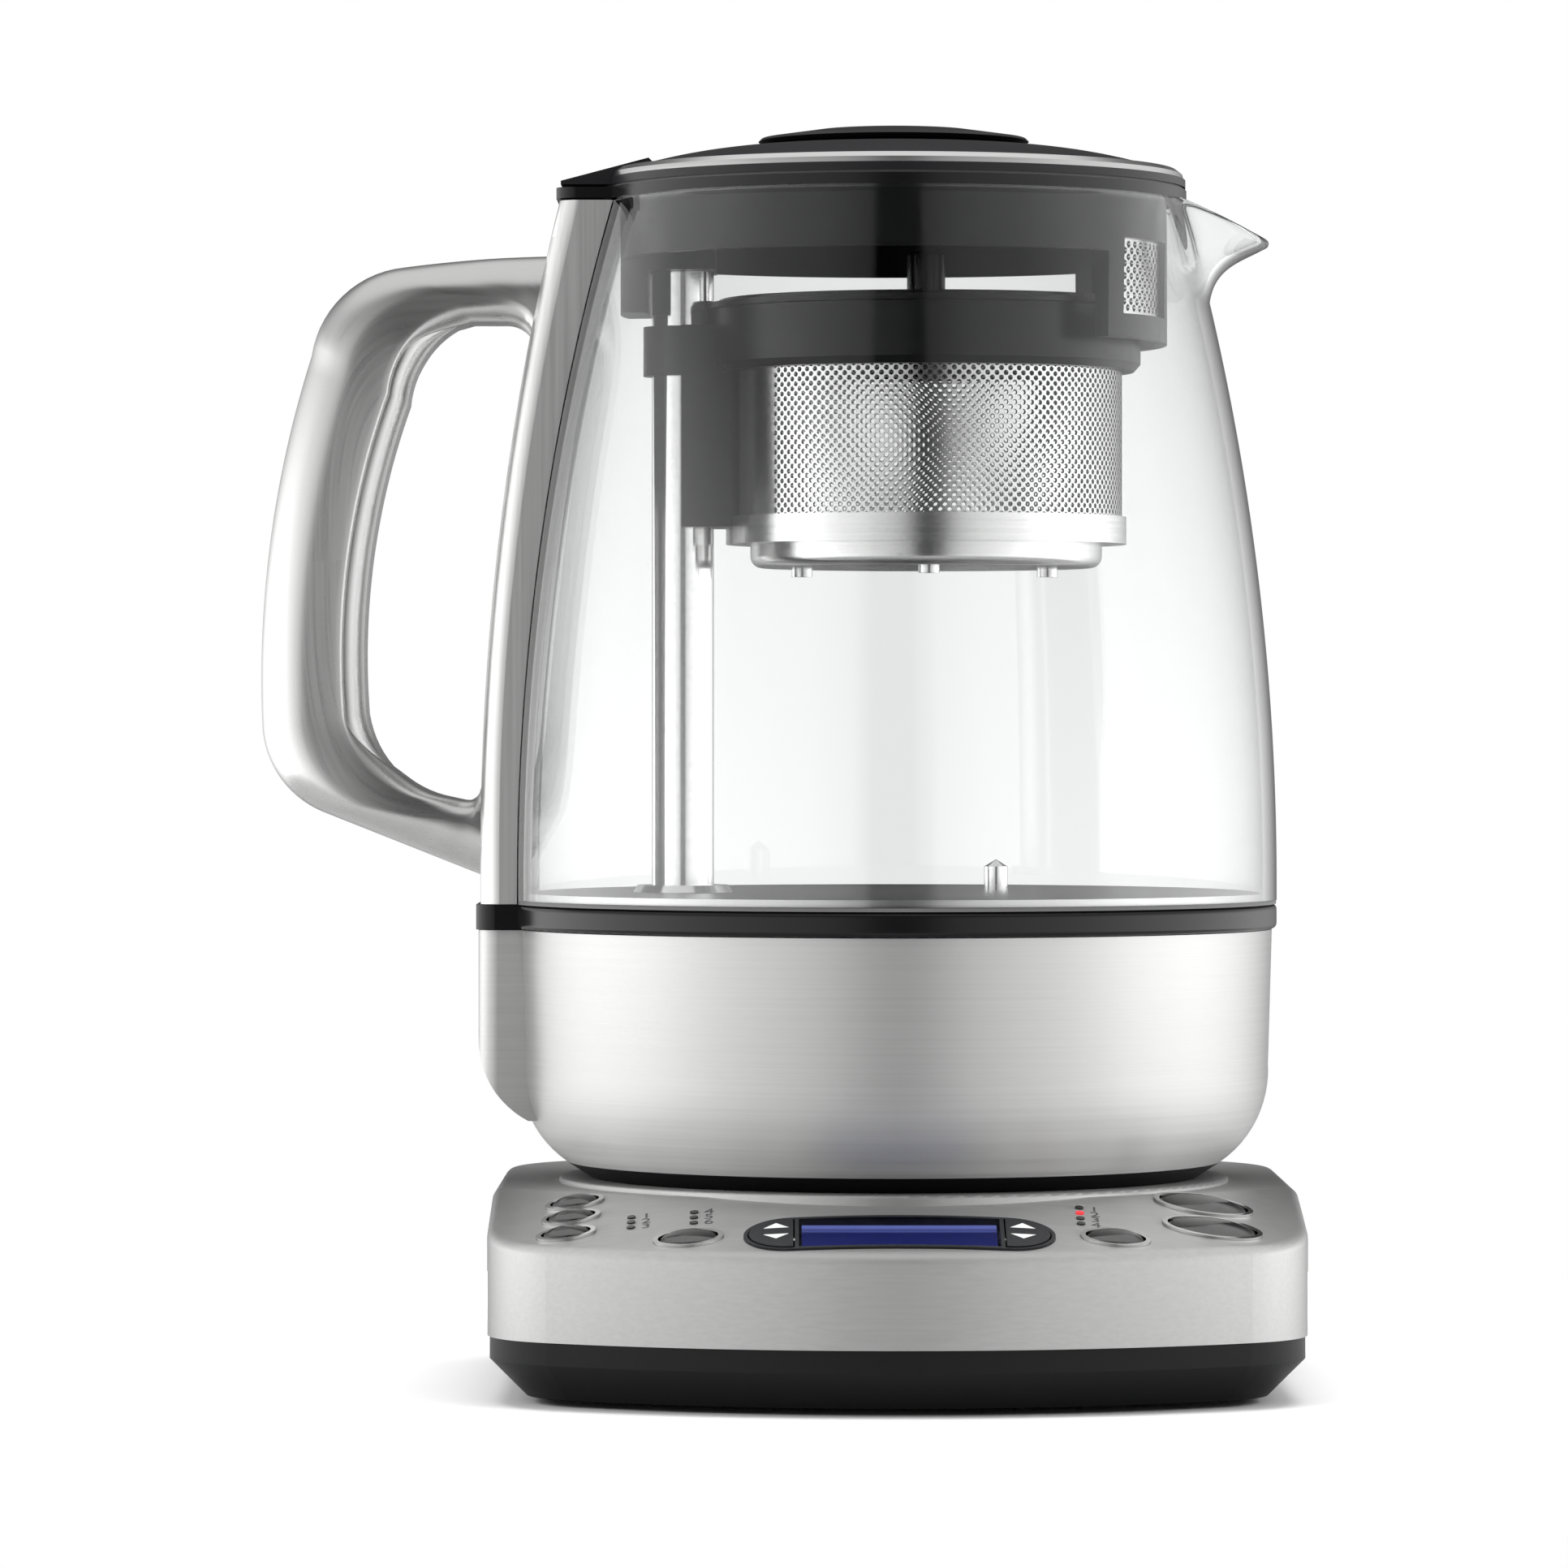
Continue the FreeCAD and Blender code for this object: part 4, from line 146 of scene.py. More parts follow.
class TeaMakerSettings(bpy.types.PropertyGroup):
    """Everything that a user would change."""

    sizes: PointerProperty(type=TeaMakerSizes)
    finishes: PointerProperty(type=TeaMakerFinishes)
    stage: PointerProperty(type=TeaMakerStage)


def settings():
    """The scene's own settings."""
    return bpy.context.scene.tea_maker


# ---- mesh helpers


# degrees past which an edge is drawn sharp, on steel, on glass and domes, and on print
SEAM_ANGLE, DOME_ANGLE, PRINT_ANGLE = 50.0, 60.0, 20.0


def new_piece(name, points, faces, finish, body, replaced=(), sharp_from=SEAM_ANGLE):
    """Closed mesh object from points in millimetres and faces, riding on a body, with a finish."""
    mesh = bpy.data.meshes.new(name)
    corners = faces if isinstance(faces, list) else faces.tolist()
    mesh.from_pydata((np.asarray(points) * MM).tolist(), [], corners)
    mesh.validate()
    solid = bmesh.new()
    solid.from_mesh(mesh)
    if solid.calc_volume(signed=True) < 0.0:
        mesh.flip_normals()
    solid.free()
    mesh.polygons.foreach_set("use_smooth", np.ones(len(mesh.polygons), bool))
    mesh.set_sharp_from_angle(angle=math.radians(sharp_from))
    mesh.materials.append(bpy.data.materials[finish + FINISH])
    piece = bpy.data.objects.new(name, mesh)
    bpy.context.scene.collection.objects.link(piece)
    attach(piece, body)
    if replaced:
        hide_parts(*replaced)


def grid_faces(rows, columns, close_rows=False, close_columns=False):
    """Quads of a grid of rows x columns points, wrapped round where it closes on itself."""
    row_at = np.arange(rows if close_rows else rows - 1)
    column_at = np.arange(columns if close_columns else columns - 1)
    row, column = np.meshgrid(row_at, column_at, indexing="ij")
    below, beside = (row + 1) % rows, (column + 1) % columns
    corners = [row * columns + column, row * columns + beside,
               below * columns + beside, below * columns + column]
    return np.stack([corner.ravel() for corner in corners], 1)


def capped_faces(rows, columns):
    """Faces of a tube of rings, closed at both ends."""
    tube = grid_faces(rows, columns, close_columns=True).tolist()
    last = (rows - 1) * columns
    return tube + [list(range(columns))[::-1], list(range(last, last + columns))]


def walled(outer, inner, faces):
    """Join two equal sheets of triangles along each open edge: the rim and the edges of holes."""
    count = len(outer)
    edges = np.concatenate([faces[:, [0, 1]], faces[:, [1, 2]], faces[:, [2, 0]]])
    open_edge = ~np.isin(edges[:, 0] * count + edges[:, 1], edges[:, 1] * count + edges[:, 0])
    here, there = edges[open_edge].T
    sides = np.concatenate([np.stack([there, here, here + count], 1),
                            np.stack([there, here + count, there + count], 1)])
    return (np.concatenate([outer, inner]),
            np.concatenate([faces, faces[:, ::-1] + count, sides]))


HOLE_CORNERS = 8         # two for each side of the diamond round a hole


def perforated_layer(columns, rows, hole_share, holed, closed):
    """Sheet of diamond cells with a round hole in each, counted in half pitches.

    Cells are centred where column + row is even and meet where it is odd. holed(column) tells which
    cells have a hole. Returns column and row of each point, and triangles.
    """
    wrap = columns if closed else columns + 1
    column, row = np.meshgrid(np.arange(wrap), np.arange(rows + 1), indexing="xy")
    inside = ((column + row) % 2 == 0) & (row > 0) & (row < rows)
    if not closed:
        inside &= (column > 0) & (column < columns)
    middle, level = column[inside], row[inside]
    cut = holed(middle)

    def corner(across, up):
        """Index of the lattice point at a column and row."""
        return up * wrap + across % wrap

    around = np.arange(HOLE_CORNERS) * 2 * math.pi / HOLE_CORNERS
    ring_column = middle[cut][:, None] + hole_share * np.cos(around)
    ring_row = level[cut][:, None] + hole_share * np.sin(around)
    ring = column.size + np.arange(cut.sum())[:, None] * HOLE_CORNERS + np.arange(HOLE_CORNERS)
    corners = np.stack([corner(middle + 1, level), corner(middle, level + 1),
                        corner(middle - 1, level), corner(middle, level - 1)], 1)
    made = [corners[~cut][:, :3], corners[~cut][:, [0, 2, 3]]]
    # between a side of the diamond and its quarter of the hole
    for quarter in range(4):
        here, there = corners[cut][:, quarter], corners[cut][:, (quarter + 1) % 4]
        first, halfway, last = (ring[:, (2 * quarter + step) % HOLE_CORNERS] for step in range(3))
        made += [np.stack([here, there, halfway], 1), np.stack([here, halfway, first], 1),
                 np.stack([there, last, halfway], 1)]
    # half cells along the lower and the upper edge
    end = wrap if closed else wrap - 2
    low, high = np.arange(1, end, 2), np.arange((rows + 1) % 2, end, 2)
    made += [np.stack([corner(low, 0), corner(low + 2, 0), corner(low + 1, 1)], 1),
             np.stack([corner(high + 2, rows), corner(high, rows), corner(high + 1, rows - 1)], 1)]
    where = np.concatenate([np.stack([column.ravel(), row.ravel()], 1),
                            np.stack([ring_column.ravel(), ring_row.ravel()], 1)])
    used, faces = np.unique(np.concatenate(made), return_inverse=True)
    return where[used], faces.reshape(-1, 3)


def right_turning_line(corners, counts):
    """Line through corners, straight or along right-turning arcs of the radius that a corner names.

    An arc's centre lies right of the chord's middle, by the root of radius squared less half the
    chord squared, and its points are spaced evenly by angle.
    """
    pieces = [np.array([corners[0][:2]])]
    for before, after, count in zip(corners, corners[1:], counts):
        start, end = np.array(before[:2]), np.array(after[:2])
        share = np.linspace(0.0, 1.0, count + 1)[1:, None]
        if len(after) == 2:
            pieces.append(start + (end - start) * share)
            continue
        chord, radius = end - start, after[2]
        length = np.linalg.norm(chord)
        aside = math.sqrt(radius ** 2 - length ** 2 / 4) / length
        centre = (start + end) / 2 + aside * np.array([chord[1], -chord[0]])
        first = math.atan2(start[1] - centre[1], start[0] - centre[0])
        angle = first - 2.0 * math.asin(length / 2 / radius) * share
        pieces.append(centre + radius * np.concatenate([np.cos(angle), np.sin(angle)], 1))
    return np.concatenate(pieces)


CORNER_POINTS, FLANK_POINTS = 9, 8       # of a bar's rounded corner and of its flank
# most that the far corners, and a far and a near one together, may take of half the bar's depth
FAR_LIMIT, BOTH_LIMIT = 1.2, 1.9


def rounded_bar(far, near, half_width, far_round, near_round, crown=0.0):
    """Bar between two lines in the X-Z plane, its section a rectangle with rounded corners.

    depth runs from the middle between the lines to either, and width along Y. Each corner is a
    quarter circle, and the flanks swell by crown in the middle: width x (1 - crown share x depth
    squared).
    """
    half = np.linalg.norm(far - near, axis=1) / 2
    toward = (far - near) / (2 * half)[:, None]
    middle = (far + near) / 2
    bend = np.linspace(0.0, math.pi / 2, CORNER_POINTS)
    half_width = np.broadcast_to(half_width, half.shape)[:, None]
    far_round = np.minimum(far_round, half * FAR_LIMIT)[:, None]
    near_round = np.minimum(near_round, half * BOTH_LIMIT - far_round[:, 0])[:, None]
    depth, width = [], []
    for quarter, (depth_side, width_side, radius) in enumerate((
            (1, 1, far_round), (-1, 1, near_round), (-1, -1, near_round), (1, -1, far_round))):
        angle = bend + quarter * math.pi / 2
        depth.append(depth_side * (half[:, None] - radius) + radius * np.cos(angle))
        width.append(width_side * (half_width - radius) + radius * np.sin(angle))
        if quarter in (0, 2):
            share = np.linspace(0.0, 1.0, FLANK_POINTS)[None, 1:-1]
            ahead = -depth_side * (half[:, None] - (near_round if quarter == 0 else far_round))
            depth.append(depth[-1][:, -1:] * (1 - share) + ahead * share)
            width.append(np.repeat(width[-1][:, -1:], share.size, 1))
    depth, width = np.concatenate(depth, 1), np.concatenate(width, 1)
    width = width * (1.0 - crown / np.max(half_width) * (depth / half[:, None]) ** 2)
    spot = middle[:, None, :] + depth[:, :, None] * toward[:, None, :]
    return np.stack([spot[:, :, 0], width, spot[:, :, 1]], 2)


def on_panel(local, beside, ahead):
    """Place points on the sloped panel, which is a cone about the bow's centre.

    The points are given level, uphill and above it, from the spot beside and ahead of the jug axis.
    """
    size = settings().sizes
    away = np.array([beside, -ahead - size.bow_centre])
    reach = np.linalg.norm(away)
    slope = math.atan(size.panel_slope)
    normal = np.array([*(away / reach * math.sin(slope)), math.cos(slope)])
    level = np.array([1.0, 0.0, 0.0]) - normal * normal[0]
    level /= np.linalg.norm(level)
    height = size.band_top + size.panel_slope * (size.bow_radius - reach)
    frame_axes = np.stack([level, np.cross(normal, level), normal])
    return np.array([beside, -ahead, height]) + np.asarray(local) @ frame_axes


# ---- finish helpers


def node(tree, kind, inputs=None, **options):
    """Add a shader node; inputs that are sockets are linked, the others are set."""
    made = tree.nodes.new(kind)
    for key, value in options.items():
        setattr(made, key, value)
    for key, value in (inputs or {}).items():
        if isinstance(value, bpy.types.NodeSocket):
            tree.links.new(value, made.inputs[key])
        else:
            made.inputs[key].default_value = value
    return made


def arithmetic(tree, operation, first, second=0.0):
    """One Math node on two values."""
    return node(tree, "ShaderNodeMath", {0: first, 1: second}, operation=operation).outputs[0]


def opaque(colour):
    """A colour of three numbers with its alpha."""
    return (*colour, 1.0)


def mixed(tree, share, first, second):
    """Blend two colours, each a socket or four numbers, by a value.

    The node's inputs 6 and 7 and its output 2 are the ones for colours.
    """
    return node(tree, "ShaderNodeMix", {0: share, 6: first, 7: second},
                data_type="RGBA").outputs[2]


def remapped(tree, value, start, end, low=0.0, high=1.0, easing="LINEAR"):
    """Map start..end of a value to low..high."""
    return node(tree, "ShaderNodeMapRange",
                {"Value": value, "From Min": start, "From Max": end, "To Min": low, "To Max": high},
                interpolation_type=easing).outputs["Result"]


def object_place(tree):
    """Object coordinates, in metres."""
    return node(tree, "ShaderNodeTexCoord").outputs["Object"]


def separated(tree, vector):
    """The X, Y and Z of a vector."""
    return node(tree, "ShaderNodeSeparateXYZ", {"Vector": vector}).outputs


def paint_ramp(ramp, stops):
    """Set a colour ramp's stops from pairs of position and colour."""
    elements = ramp.color_ramp.elements
    while len(elements) < len(stops):
        elements.new(0.5)
    for element, (position, colour) in zip(elements, stops):
        element.position = position
        element.color = opaque(colour)


def shader_of(name, **sockets):
    """New material's tree and Principled shader; sockets are named with underscores for spaces."""
    material = bpy.data.materials.new(name + FINISH)
    material.use_nodes = True
    tree = material.node_tree
    shader = tree.nodes["Principled BSDF"]
    for key, value in sockets.items():
        socket = shader.inputs[key.replace("_", " ")]
        socket.default_value = opaque(value) if len(np.atleast_1d(value)) == 3 else value
    return tree, shader


def stretched_noise(tree, cells, detail=3.0):
    """Noise in object coordinates, with its own number of cells per metre along each axis."""
    mapped = node(tree, "ShaderNodeMapping", {"Vector": object_place(tree), "Scale": cells})
    return node(tree, "ShaderNodeTexNoise",
                {"Vector": mapped.outputs["Vector"], "Scale": 1.0, "Detail": detail,
                 "Roughness": 0.6}).outputs["Fac"]


NOISE_LOW, NOISE_HIGH = 0.3, 0.7         # most of a noise lies between these


def spread_out(tree, noise, low=0.0, high=1.0):
    """Map the middle of a noise to low..high."""
    return remapped(tree, noise, NOISE_LOW, NOISE_HIGH, low, high)


def vary_gloss(tree, shader, noise, roughness, low, high):
    """Let a noise take the roughness from one share of it to another."""
    tree.links.new(spread_out(tree, noise, roughness * low, roughness * high),
                   shader.inputs["Roughness"])


def vary_colour(tree, socket, noise, colour, low, high):
    """Let a noise take a socket's colour from one share of it to another."""
    shades = (opaque([channel * share for channel in colour]) for share in (low, high))
    tree.links.new(mixed(tree, noise, *shades), socket)


def bump_by(tree, shader, noise, distance, strength):
    """Let a noise raise the surface by a distance in metres."""
    bump = node(tree, "ShaderNodeBump",
                {"Height": noise, "Distance": distance, "Strength": strength})
    tree.links.new(bump.outputs["Normal"], shader.inputs["Normal"])


# ---- finishes


FINE_BUMP = 0.000003     # metres
# noise cells per metre along X, Y and Z; brush marks are drawn out along the axes of few cells
ROUND = (9.0, 9.0, 1500.0)
ALONG_X = (9.0, 1500.0, 1500.0)
UPRIGHT = (1500.0, 1500.0, 12.0)
TURNED = (60.0, 60.0, 3500.0)
EVEN = (900.0, 900.0, 900.0)


def steel(name, cells, roughness, bump=FINE_BUMP, anisotropy=0.0, turn=0.0, shade=1.0):
    """Stainless steel with brush marks."""
    colour = [channel * shade for channel in settings().finishes.steel]
    tree, shader = shader_of(name, Base_Color=colour, Metallic=1.0, Roughness=roughness,
                             Anisotropic=anisotropy, Anisotropic_Rotation=turn)
    marks = stretched_noise(tree, cells)
    vary_gloss(tree, shader, marks, roughness, 0.94, 1.06)
    vary_colour(tree, shader.inputs["Base Color"], spread_out(tree, marks), colour, 0.9, 1.0)
    bump_by(tree, shader, marks, bump, 0.5)
    if anisotropy:
        around = node(tree, "ShaderNodeTangent", direction_type="RADIAL", axis="Z").outputs[0]
        tree.links.new(around, shader.inputs["Tangent"])


# finger gap of the handle in the X-Z plane, in metres, and its brush marks: per metre of ring, per
# metre of width, and per radian round the gap
GAP_MIDDLE, GAP_HALF = (-0.094, 0.171), (0.032, 0.062)
MARKS_ACROSS, MARKS_ROUND = 1500.0, 1.2


def handle_steel(name, roughness, shade):
    """Stainless steel brushed lengthwise round the handle.

    The marks keep to rounded rings about the finger gap: ring = cube root of |u| cubed + |w| cubed,
    with u and w the distances from its middle over the ring's half width and half height. They lie
    at right angles to the ring's gradient.
    """
    colour = [channel * shade for channel in settings().finishes.steel]
    tree, shader = shader_of(name, Base_Color=colour, Metallic=1.0, Roughness=roughness,
                             Anisotropic=0.6, Anisotropic_Rotation=0.25)
    place = separated(tree, object_place(tree))

    def worked(operation, first, second=0.0):
        """Arithmetic in this finish's tree."""
        return arithmetic(tree, operation, first, second)

    aside, above = (worked("DIVIDE", worked("SUBTRACT", place[axis], middle), half)
                    for axis, middle, half in zip("XZ", GAP_MIDDLE, GAP_HALF))
    cubes = [worked("POWER", worked("ABSOLUTE", value), 3.0) for value in (aside, above)]
    ring = worked("POWER", worked("ADD", *cubes), 1.0 / 3.0)
    turn = worked("ARCTAN2", above, aside)
    along = node(tree, "ShaderNodeCombineXYZ", {
        "X": worked("MULTIPLY", ring, MARKS_ACROSS * GAP_HALF[0]),
        "Y": worked("MULTIPLY", place["Y"], MARKS_ACROSS),
        "Z": worked("MULTIPLY", turn, MARKS_ROUND)}).outputs[0]
    marks = node(tree, "ShaderNodeTexNoise",
                 {"Vector": along, "Scale": 1.0, "Detail": 2.0}).outputs["Fac"]
    vary_gloss(tree, shader, marks, roughness, 0.93, 1.07)
    vary_colour(tree, shader.inputs["Base Color"], marks, colour, 0.94, 1.0)
    slant = [worked("MULTIPLY", value, worked("ABSOLUTE", value)) for value in (aside, above)]
    lay = node(tree, "ShaderNodeCombineXYZ", {
        "X": worked("MULTIPLY", slant[1], -GAP_HALF[0]),
        "Z": worked("MULTIPLY", slant[0], GAP_HALF[1])}).outputs[0]
    tree.links.new(lay, shader.inputs["Tangent"])


def plastic(name, colour, roughness, cells=1500.0, bump=FINE_BUMP, **sockets):
    """Moulded plastic with a fine grain in its gloss, colour and surface."""
    tree, shader = shader_of(name, Base_Color=colour, Roughness=roughness, **sockets)
    grain = stretched_noise(tree, (cells,) * 3, 2.0)
    vary_gloss(tree, shader, grain, roughness, 0.92, 1.08)
    vary_colour(tree, shader.inputs["Base Color"], grain, colour, 0.9, 1.08)
    bump_by(tree, shader, grain, bump, 0.3)
    return tree, shader


def glass(name, face_on, painted_edge_shade):
    """Clear glass that darkens towards its outline: a little from its longer way through the glass
    there, far more from a painted shade that stands in for the dark surroundings its edges reflect.
    """
    tree, shader = shader_of(name, Base_Color=face_on, Roughness=0.0, Transmission_Weight=1.0,
                             IOR=1.47)
    facing = node(tree, "ShaderNodeLayerWeight", {"Blend": 0.25}).outputs["Facing"]
    # the outline's colour is a painted shade
    tree.links.new(mixed(tree, facing, opaque(face_on), opaque(painted_edge_shade)),
                   shader.inputs["Base Color"])


# display from its near to its far edge: place, share of the blue, and share of the painted
# highlight line, which stands in for the lens bevel's reflection
DISPLAY_SHADES = ((0.0, 1.3, 0.1), (0.25, 0.85, 0.0), (0.66, 0.65, 0.0), (0.72, 0.9, 0.7),
                  (0.8, 0.9, 0.5), (0.84, 1.0, 1.4))
# colour of the painted highlight under the display's far edge
DISPLAY_HIGHLIGHT_PAINT = (0.075, 0.09, 0.2)


def lcd_finish(name, blue):
    """Lit liquid crystal panel: blue, deeper in its middle, with a painted highlight line under its
    far edge in place of the lens bevel's reflection.
    """
    tree, shader = shader_of(name, Base_Color=[channel * 0.1 for channel in blue], Roughness=0.4,
                             Specular_IOR_Level=0.0, Emission_Strength=1.0)
    lowest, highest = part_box("lcd_panel")
    share = remapped(tree, separated(tree, object_place(tree))["Y"], lowest.y, highest.y)
    ramp = node(tree, "ShaderNodeValToRGB", {"Fac": share})
    paint_ramp(ramp, [(position, [channel * deep + light * highlight_share
                                  for channel, light in zip(blue, DISPLAY_HIGHLIGHT_PAINT)])
                      for position, deep, highlight_share in DISPLAY_SHADES])
    tree.links.new(ramp.outputs["Color"], shader.inputs["Emission Color"])


def lamp_finish(name, red):
    """Lit lamp: clear red plastic with a cloudy glow."""
    tree, shader = plastic(name, red, 0.2, Emission_Strength=0.6)
    clouds = spread_out(tree, stretched_noise(tree, (2500.0,) * 3))
    vary_colour(tree, shader.inputs["Emission Color"], clouds, red, 0.8, 1.15)


def make_finishes():
    """Make every finish; a piece finds its own by name."""
    look = settings().finishes
    rough = look.steel_roughness
    black = list(look.black)
    steel("shell_steel", ROUND, rough, anisotropy=0.8, turn=0.25, shade=0.88)
    steel("cover_steel", ALONG_X, rough * 0.9, anisotropy=0.75, turn=0.25, shade=0.8)
    steel("column_steel", UPRIGHT, rough * 0.6, anisotropy=0.5, shade=0.85)
    handle_steel("handle_steel", rough * 0.55, shade=0.76)
    steel("bright_steel", EVEN, 0.12, bump=0.000004)
    steel("mesh_steel", EVEN, 0.2, shade=0.78)
    steel("trim_steel", ROUND, 0.24, shade=0.85)
    steel("plate_steel", TURNED, 0.34, shade=0.75)
    # the chrome's shade of a fifth is painted shade, standing in for the dark jug underside that
    # the domes reflect
    steel("button_chrome", EVEN, 0.14, shade=0.2)
    plastic("black_gloss", black, 0.24, Specular_IOR_Level=0.22)
    plastic("black_satin", black, 0.38, cells=2500.0, bump=0.000008, Specular_IOR_Level=0.2)
    plastic("lid_black", [channel * 2.0 for channel in black], 0.36, cells=2500.0, bump=0.000005,
            Specular_IOR_Level=0.2)
    plastic("smoke_plastic", list(look.smoke), 0.34, cells=300.0, bump=0.000001,
            Specular_IOR_Level=0.25)
    plastic("pad_grey", list(look.pad_grey), 0.33, Specular_IOR_Level=0.2)
    plastic("rubber", [0.02, 0.02, 0.02], 0.75, cells=3000.0, bump=0.00005)
    plastic("silicone", [0.12, 0.12, 0.12], 0.55)
    plastic("board_green", [0.01, 0.10, 0.035], 0.45, cells=800.0)
    plastic("component", [0.03, 0.03, 0.035], 0.5)
    plastic("acetal", [0.72, 0.72, 0.69], 0.4)
    plastic("brass", [0.78, 0.55, 0.22], 0.25, Metallic=1.0)
    plastic("plated", [0.42, 0.42, 0.43], 0.35, Metallic=1.0)
    glass("clear_glass", (0.95, 0.955, 0.955), (0.16, 0.165, 0.165))
    plastic("lens", [0.9, 0.92, 0.95], 0.03, cells=400.0, bump=0.0000005,
            Transmission_Weight=1.0, IOR=1.01, Coat_Weight=0.12)
    lcd_finish("display_blue", list(look.display_blue))
    plastic("lamp_off", [0.02, 0.02, 0.02], 0.2)
    lamp_finish("lamp_red", list(look.lamp_red))
    plastic("print_white", [0.75, 0.75, 0.75], 0.5)
    plastic("print_grey", [0.06, 0.06, 0.06], 0.5)


NODE_FINISHES = {
    "shell_steel": ("jug_base_shell",),
    "cover_steel": ("base_cover",),
    "column_steel": ("handle_column",),
    "handle_steel": ("handle_shell", "handle_liner"),
    "bright_steel": ("base_screws", "button_bezels", "rocker_pins", "thermal_probe", "guide_post",
                     "post_foot", "handle_screws", "lead_screw"),
    "mesh_steel": ("basket_mesh", "spout_filter"),
    "trim_steel": ("lid_trim", "basket_floor"),
    "plate_steel": ("heating_plate",),
    "button_chrome": ("auto_start_button", "keep_warm_button", "basket_button", "tea_type_button",
                      "strength_button", "hot_water_button", "brew_button"),
    "black_gloss": ("collar_ring", "rim_ring", "basket_lid"),
    "lid_black": ("lid_cover", "lid_knob"),
    "black_satin": ("base_tray", "panel_carrier", "cord_gland", "connector_boss", "jug_foot",
                    "jug_socket", "column_core"),
    "smoke_plastic": ("basket_carriage", "basket_collar", "lid_skirt"),
    "pad_grey": ("display_frame", "temperature_rocker", "time_rocker"),
    "rubber": ("base_feet",),
    "silicone": ("plate_seal", "lid_seal"),
    "board_green": ("control_board",),
    "component": ("key_switches", "power_board"),
    "acetal": ("magnet_carriage",),
    "brass": ("connector_rings", "socket_contacts"),
    "plated": ("heater_ring", "lift_motor", "basket_magnets"),
    "clear_glass": ("glass_jug",),
    "lens": ("display_lens",),
    "display_blue": ("lcd_panel",),
    "lamp_off": ("indicator_lamps",),
    "lamp_red": ("lit_lamp",),
}


class TEAMAKER_OT_finishes(bpy.types.Operator):
    """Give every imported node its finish"""

    bl_idname = "tea_maker.finishes"
    bl_label = "Finishes"

    def execute(self, context):
        make_finishes()
        for finish, names in NODE_FINISHES.items():
            for name in names:
                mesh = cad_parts[name].data
                mesh.materials.clear()
                mesh.materials.append(bpy.data.materials[finish + FINISH])
        return {"FINISHED"}


# ---- glass


# corners of the spout's middle line, a cubic curve from the wall out to the lip
LIP_RADII = np.array([66.1, 67.2, 72.5, 78.0])
LIP_HEIGHTS = np.array([225.0, 232.6, 233.6, 236.6])
ROWS_BELOW_SPOUT, ROWS_OF_SPOUT, GLASS_COLUMNS, RIM_POINTS = 60, 28, 300, 9
SPOUT_CROWDING = 0.72    # how far the columns crowd towards the spout
SPOUT_SHARPNESS = 1.35   # power that narrows the spout's round outline
LIP_THINNING = 0.8       # millimetres that the wall loses at the lip


def wall_profile(size, height):
    """Outer radius of the glass at a height: upright foot, then one long arc that leans in."""
    rise = np.maximum(height - size.glass_tangent, 0.0)
    return size.glass_foot - size.glass_arc + np.sqrt(size.glass_arc ** 2 - rise ** 2)


def lip_profile(share):
    """Radius and height of the spout's middle line at a share of the way along its cubic curve."""
    left = 1 - share
    weights = np.stack([left ** 3, 3 * share * left ** 2, 3 * share ** 2 * left, share ** 3])
    return LIP_RADII @ weights, LIP_HEIGHTS @ weights


class TEAMAKER_OT_glass(bpy.types.Operator):
    """Glass wall with its pouring spout"""

    bl_idname = "tea_maker.glass"
    bl_label = "Glass jug"

    def execute(self, context):
        size = settings().sizes
        # columns crowd towards the spout: angle = turn - crowding x sin(turn)
        turn = np.linspace(-math.pi, math.pi, GLASS_COLUMNS, endpoint=False)
        angle = turn - SPOUT_CROWDING * np.sin(turn)
        # bell is 1 on the spout's middle line and falls to 0 as a raised cosine
        bell = np.clip(np.abs(np.degrees(angle)) / size.spout_spread, 0.0, 1.0)
        bell = (0.5 + 0.5 * np.cos(math.pi * bell)) ** SPOUT_SHARPNESS
        low = np.linspace(size.glass_low, size.spout_root, ROWS_BELOW_SPOUT)
        share = np.linspace(0.0, 1.0, ROWS_OF_SPOUT)[1:]
        high = size.spout_root + share * (size.glass_top - size.spout_root)
        height = np.concatenate([low, high])
        radius = np.repeat(wall_profile(size, height)[:, None], GLASS_COLUMNS, 1)
        height = np.repeat(height[:, None], GLASS_COLUMNS, 1)
        spout = slice(ROWS_BELOW_SPOUT, None)
        lip_radius, lip_height = lip_profile(share)
        radius[spout] += bell * (lip_radius[:, None] - radius[spout])
        height[spout] += bell * (lip_height[:, None] - height[spout])
        outer = np.stack([radius * np.cos(angle), radius * np.sin(angle), height], 2)
        along = np.gradient(outer, axis=0)
        along /= np.linalg.norm(along, axis=2, keepdims=True)
        across = np.roll(outer, -1, 1) - np.roll(outer, 1, 1)
        normal = np.cross(across, along)
        normal /= np.linalg.norm(normal, axis=2, keepdims=True)
        wall = np.full(outer.shape[:2], size.glass_wall)
        wall[spout] -= LIP_THINNING * bell * share[:, None]
        inner = outer - normal * wall[:, :, None]
        # round rim: half a circle from the outer edge over to the inner one
        bend = np.linspace(0.0, math.pi, RIM_POINTS)[1:-1, None, None]
        half = wall[-1][None, :, None] * 0.5
        middle = (outer[-1] + inner[-1])[None] * 0.5
        rim = middle + half * (np.cos(bend) * normal[-1] + np.sin(bend) * along[-1])
        points = np.concatenate([outer, rim, inner[::-1]])
        faces = grid_faces(len(points), GLASS_COLUMNS, close_rows=True, close_columns=True)
        new_piece("glass_wall", points.reshape(-1, 3), faces, "clear_glass",
                  "jug", ("glass_jug",), DOME_ANGLE)
        return {"FINISHED"}


# ---- perforated steel


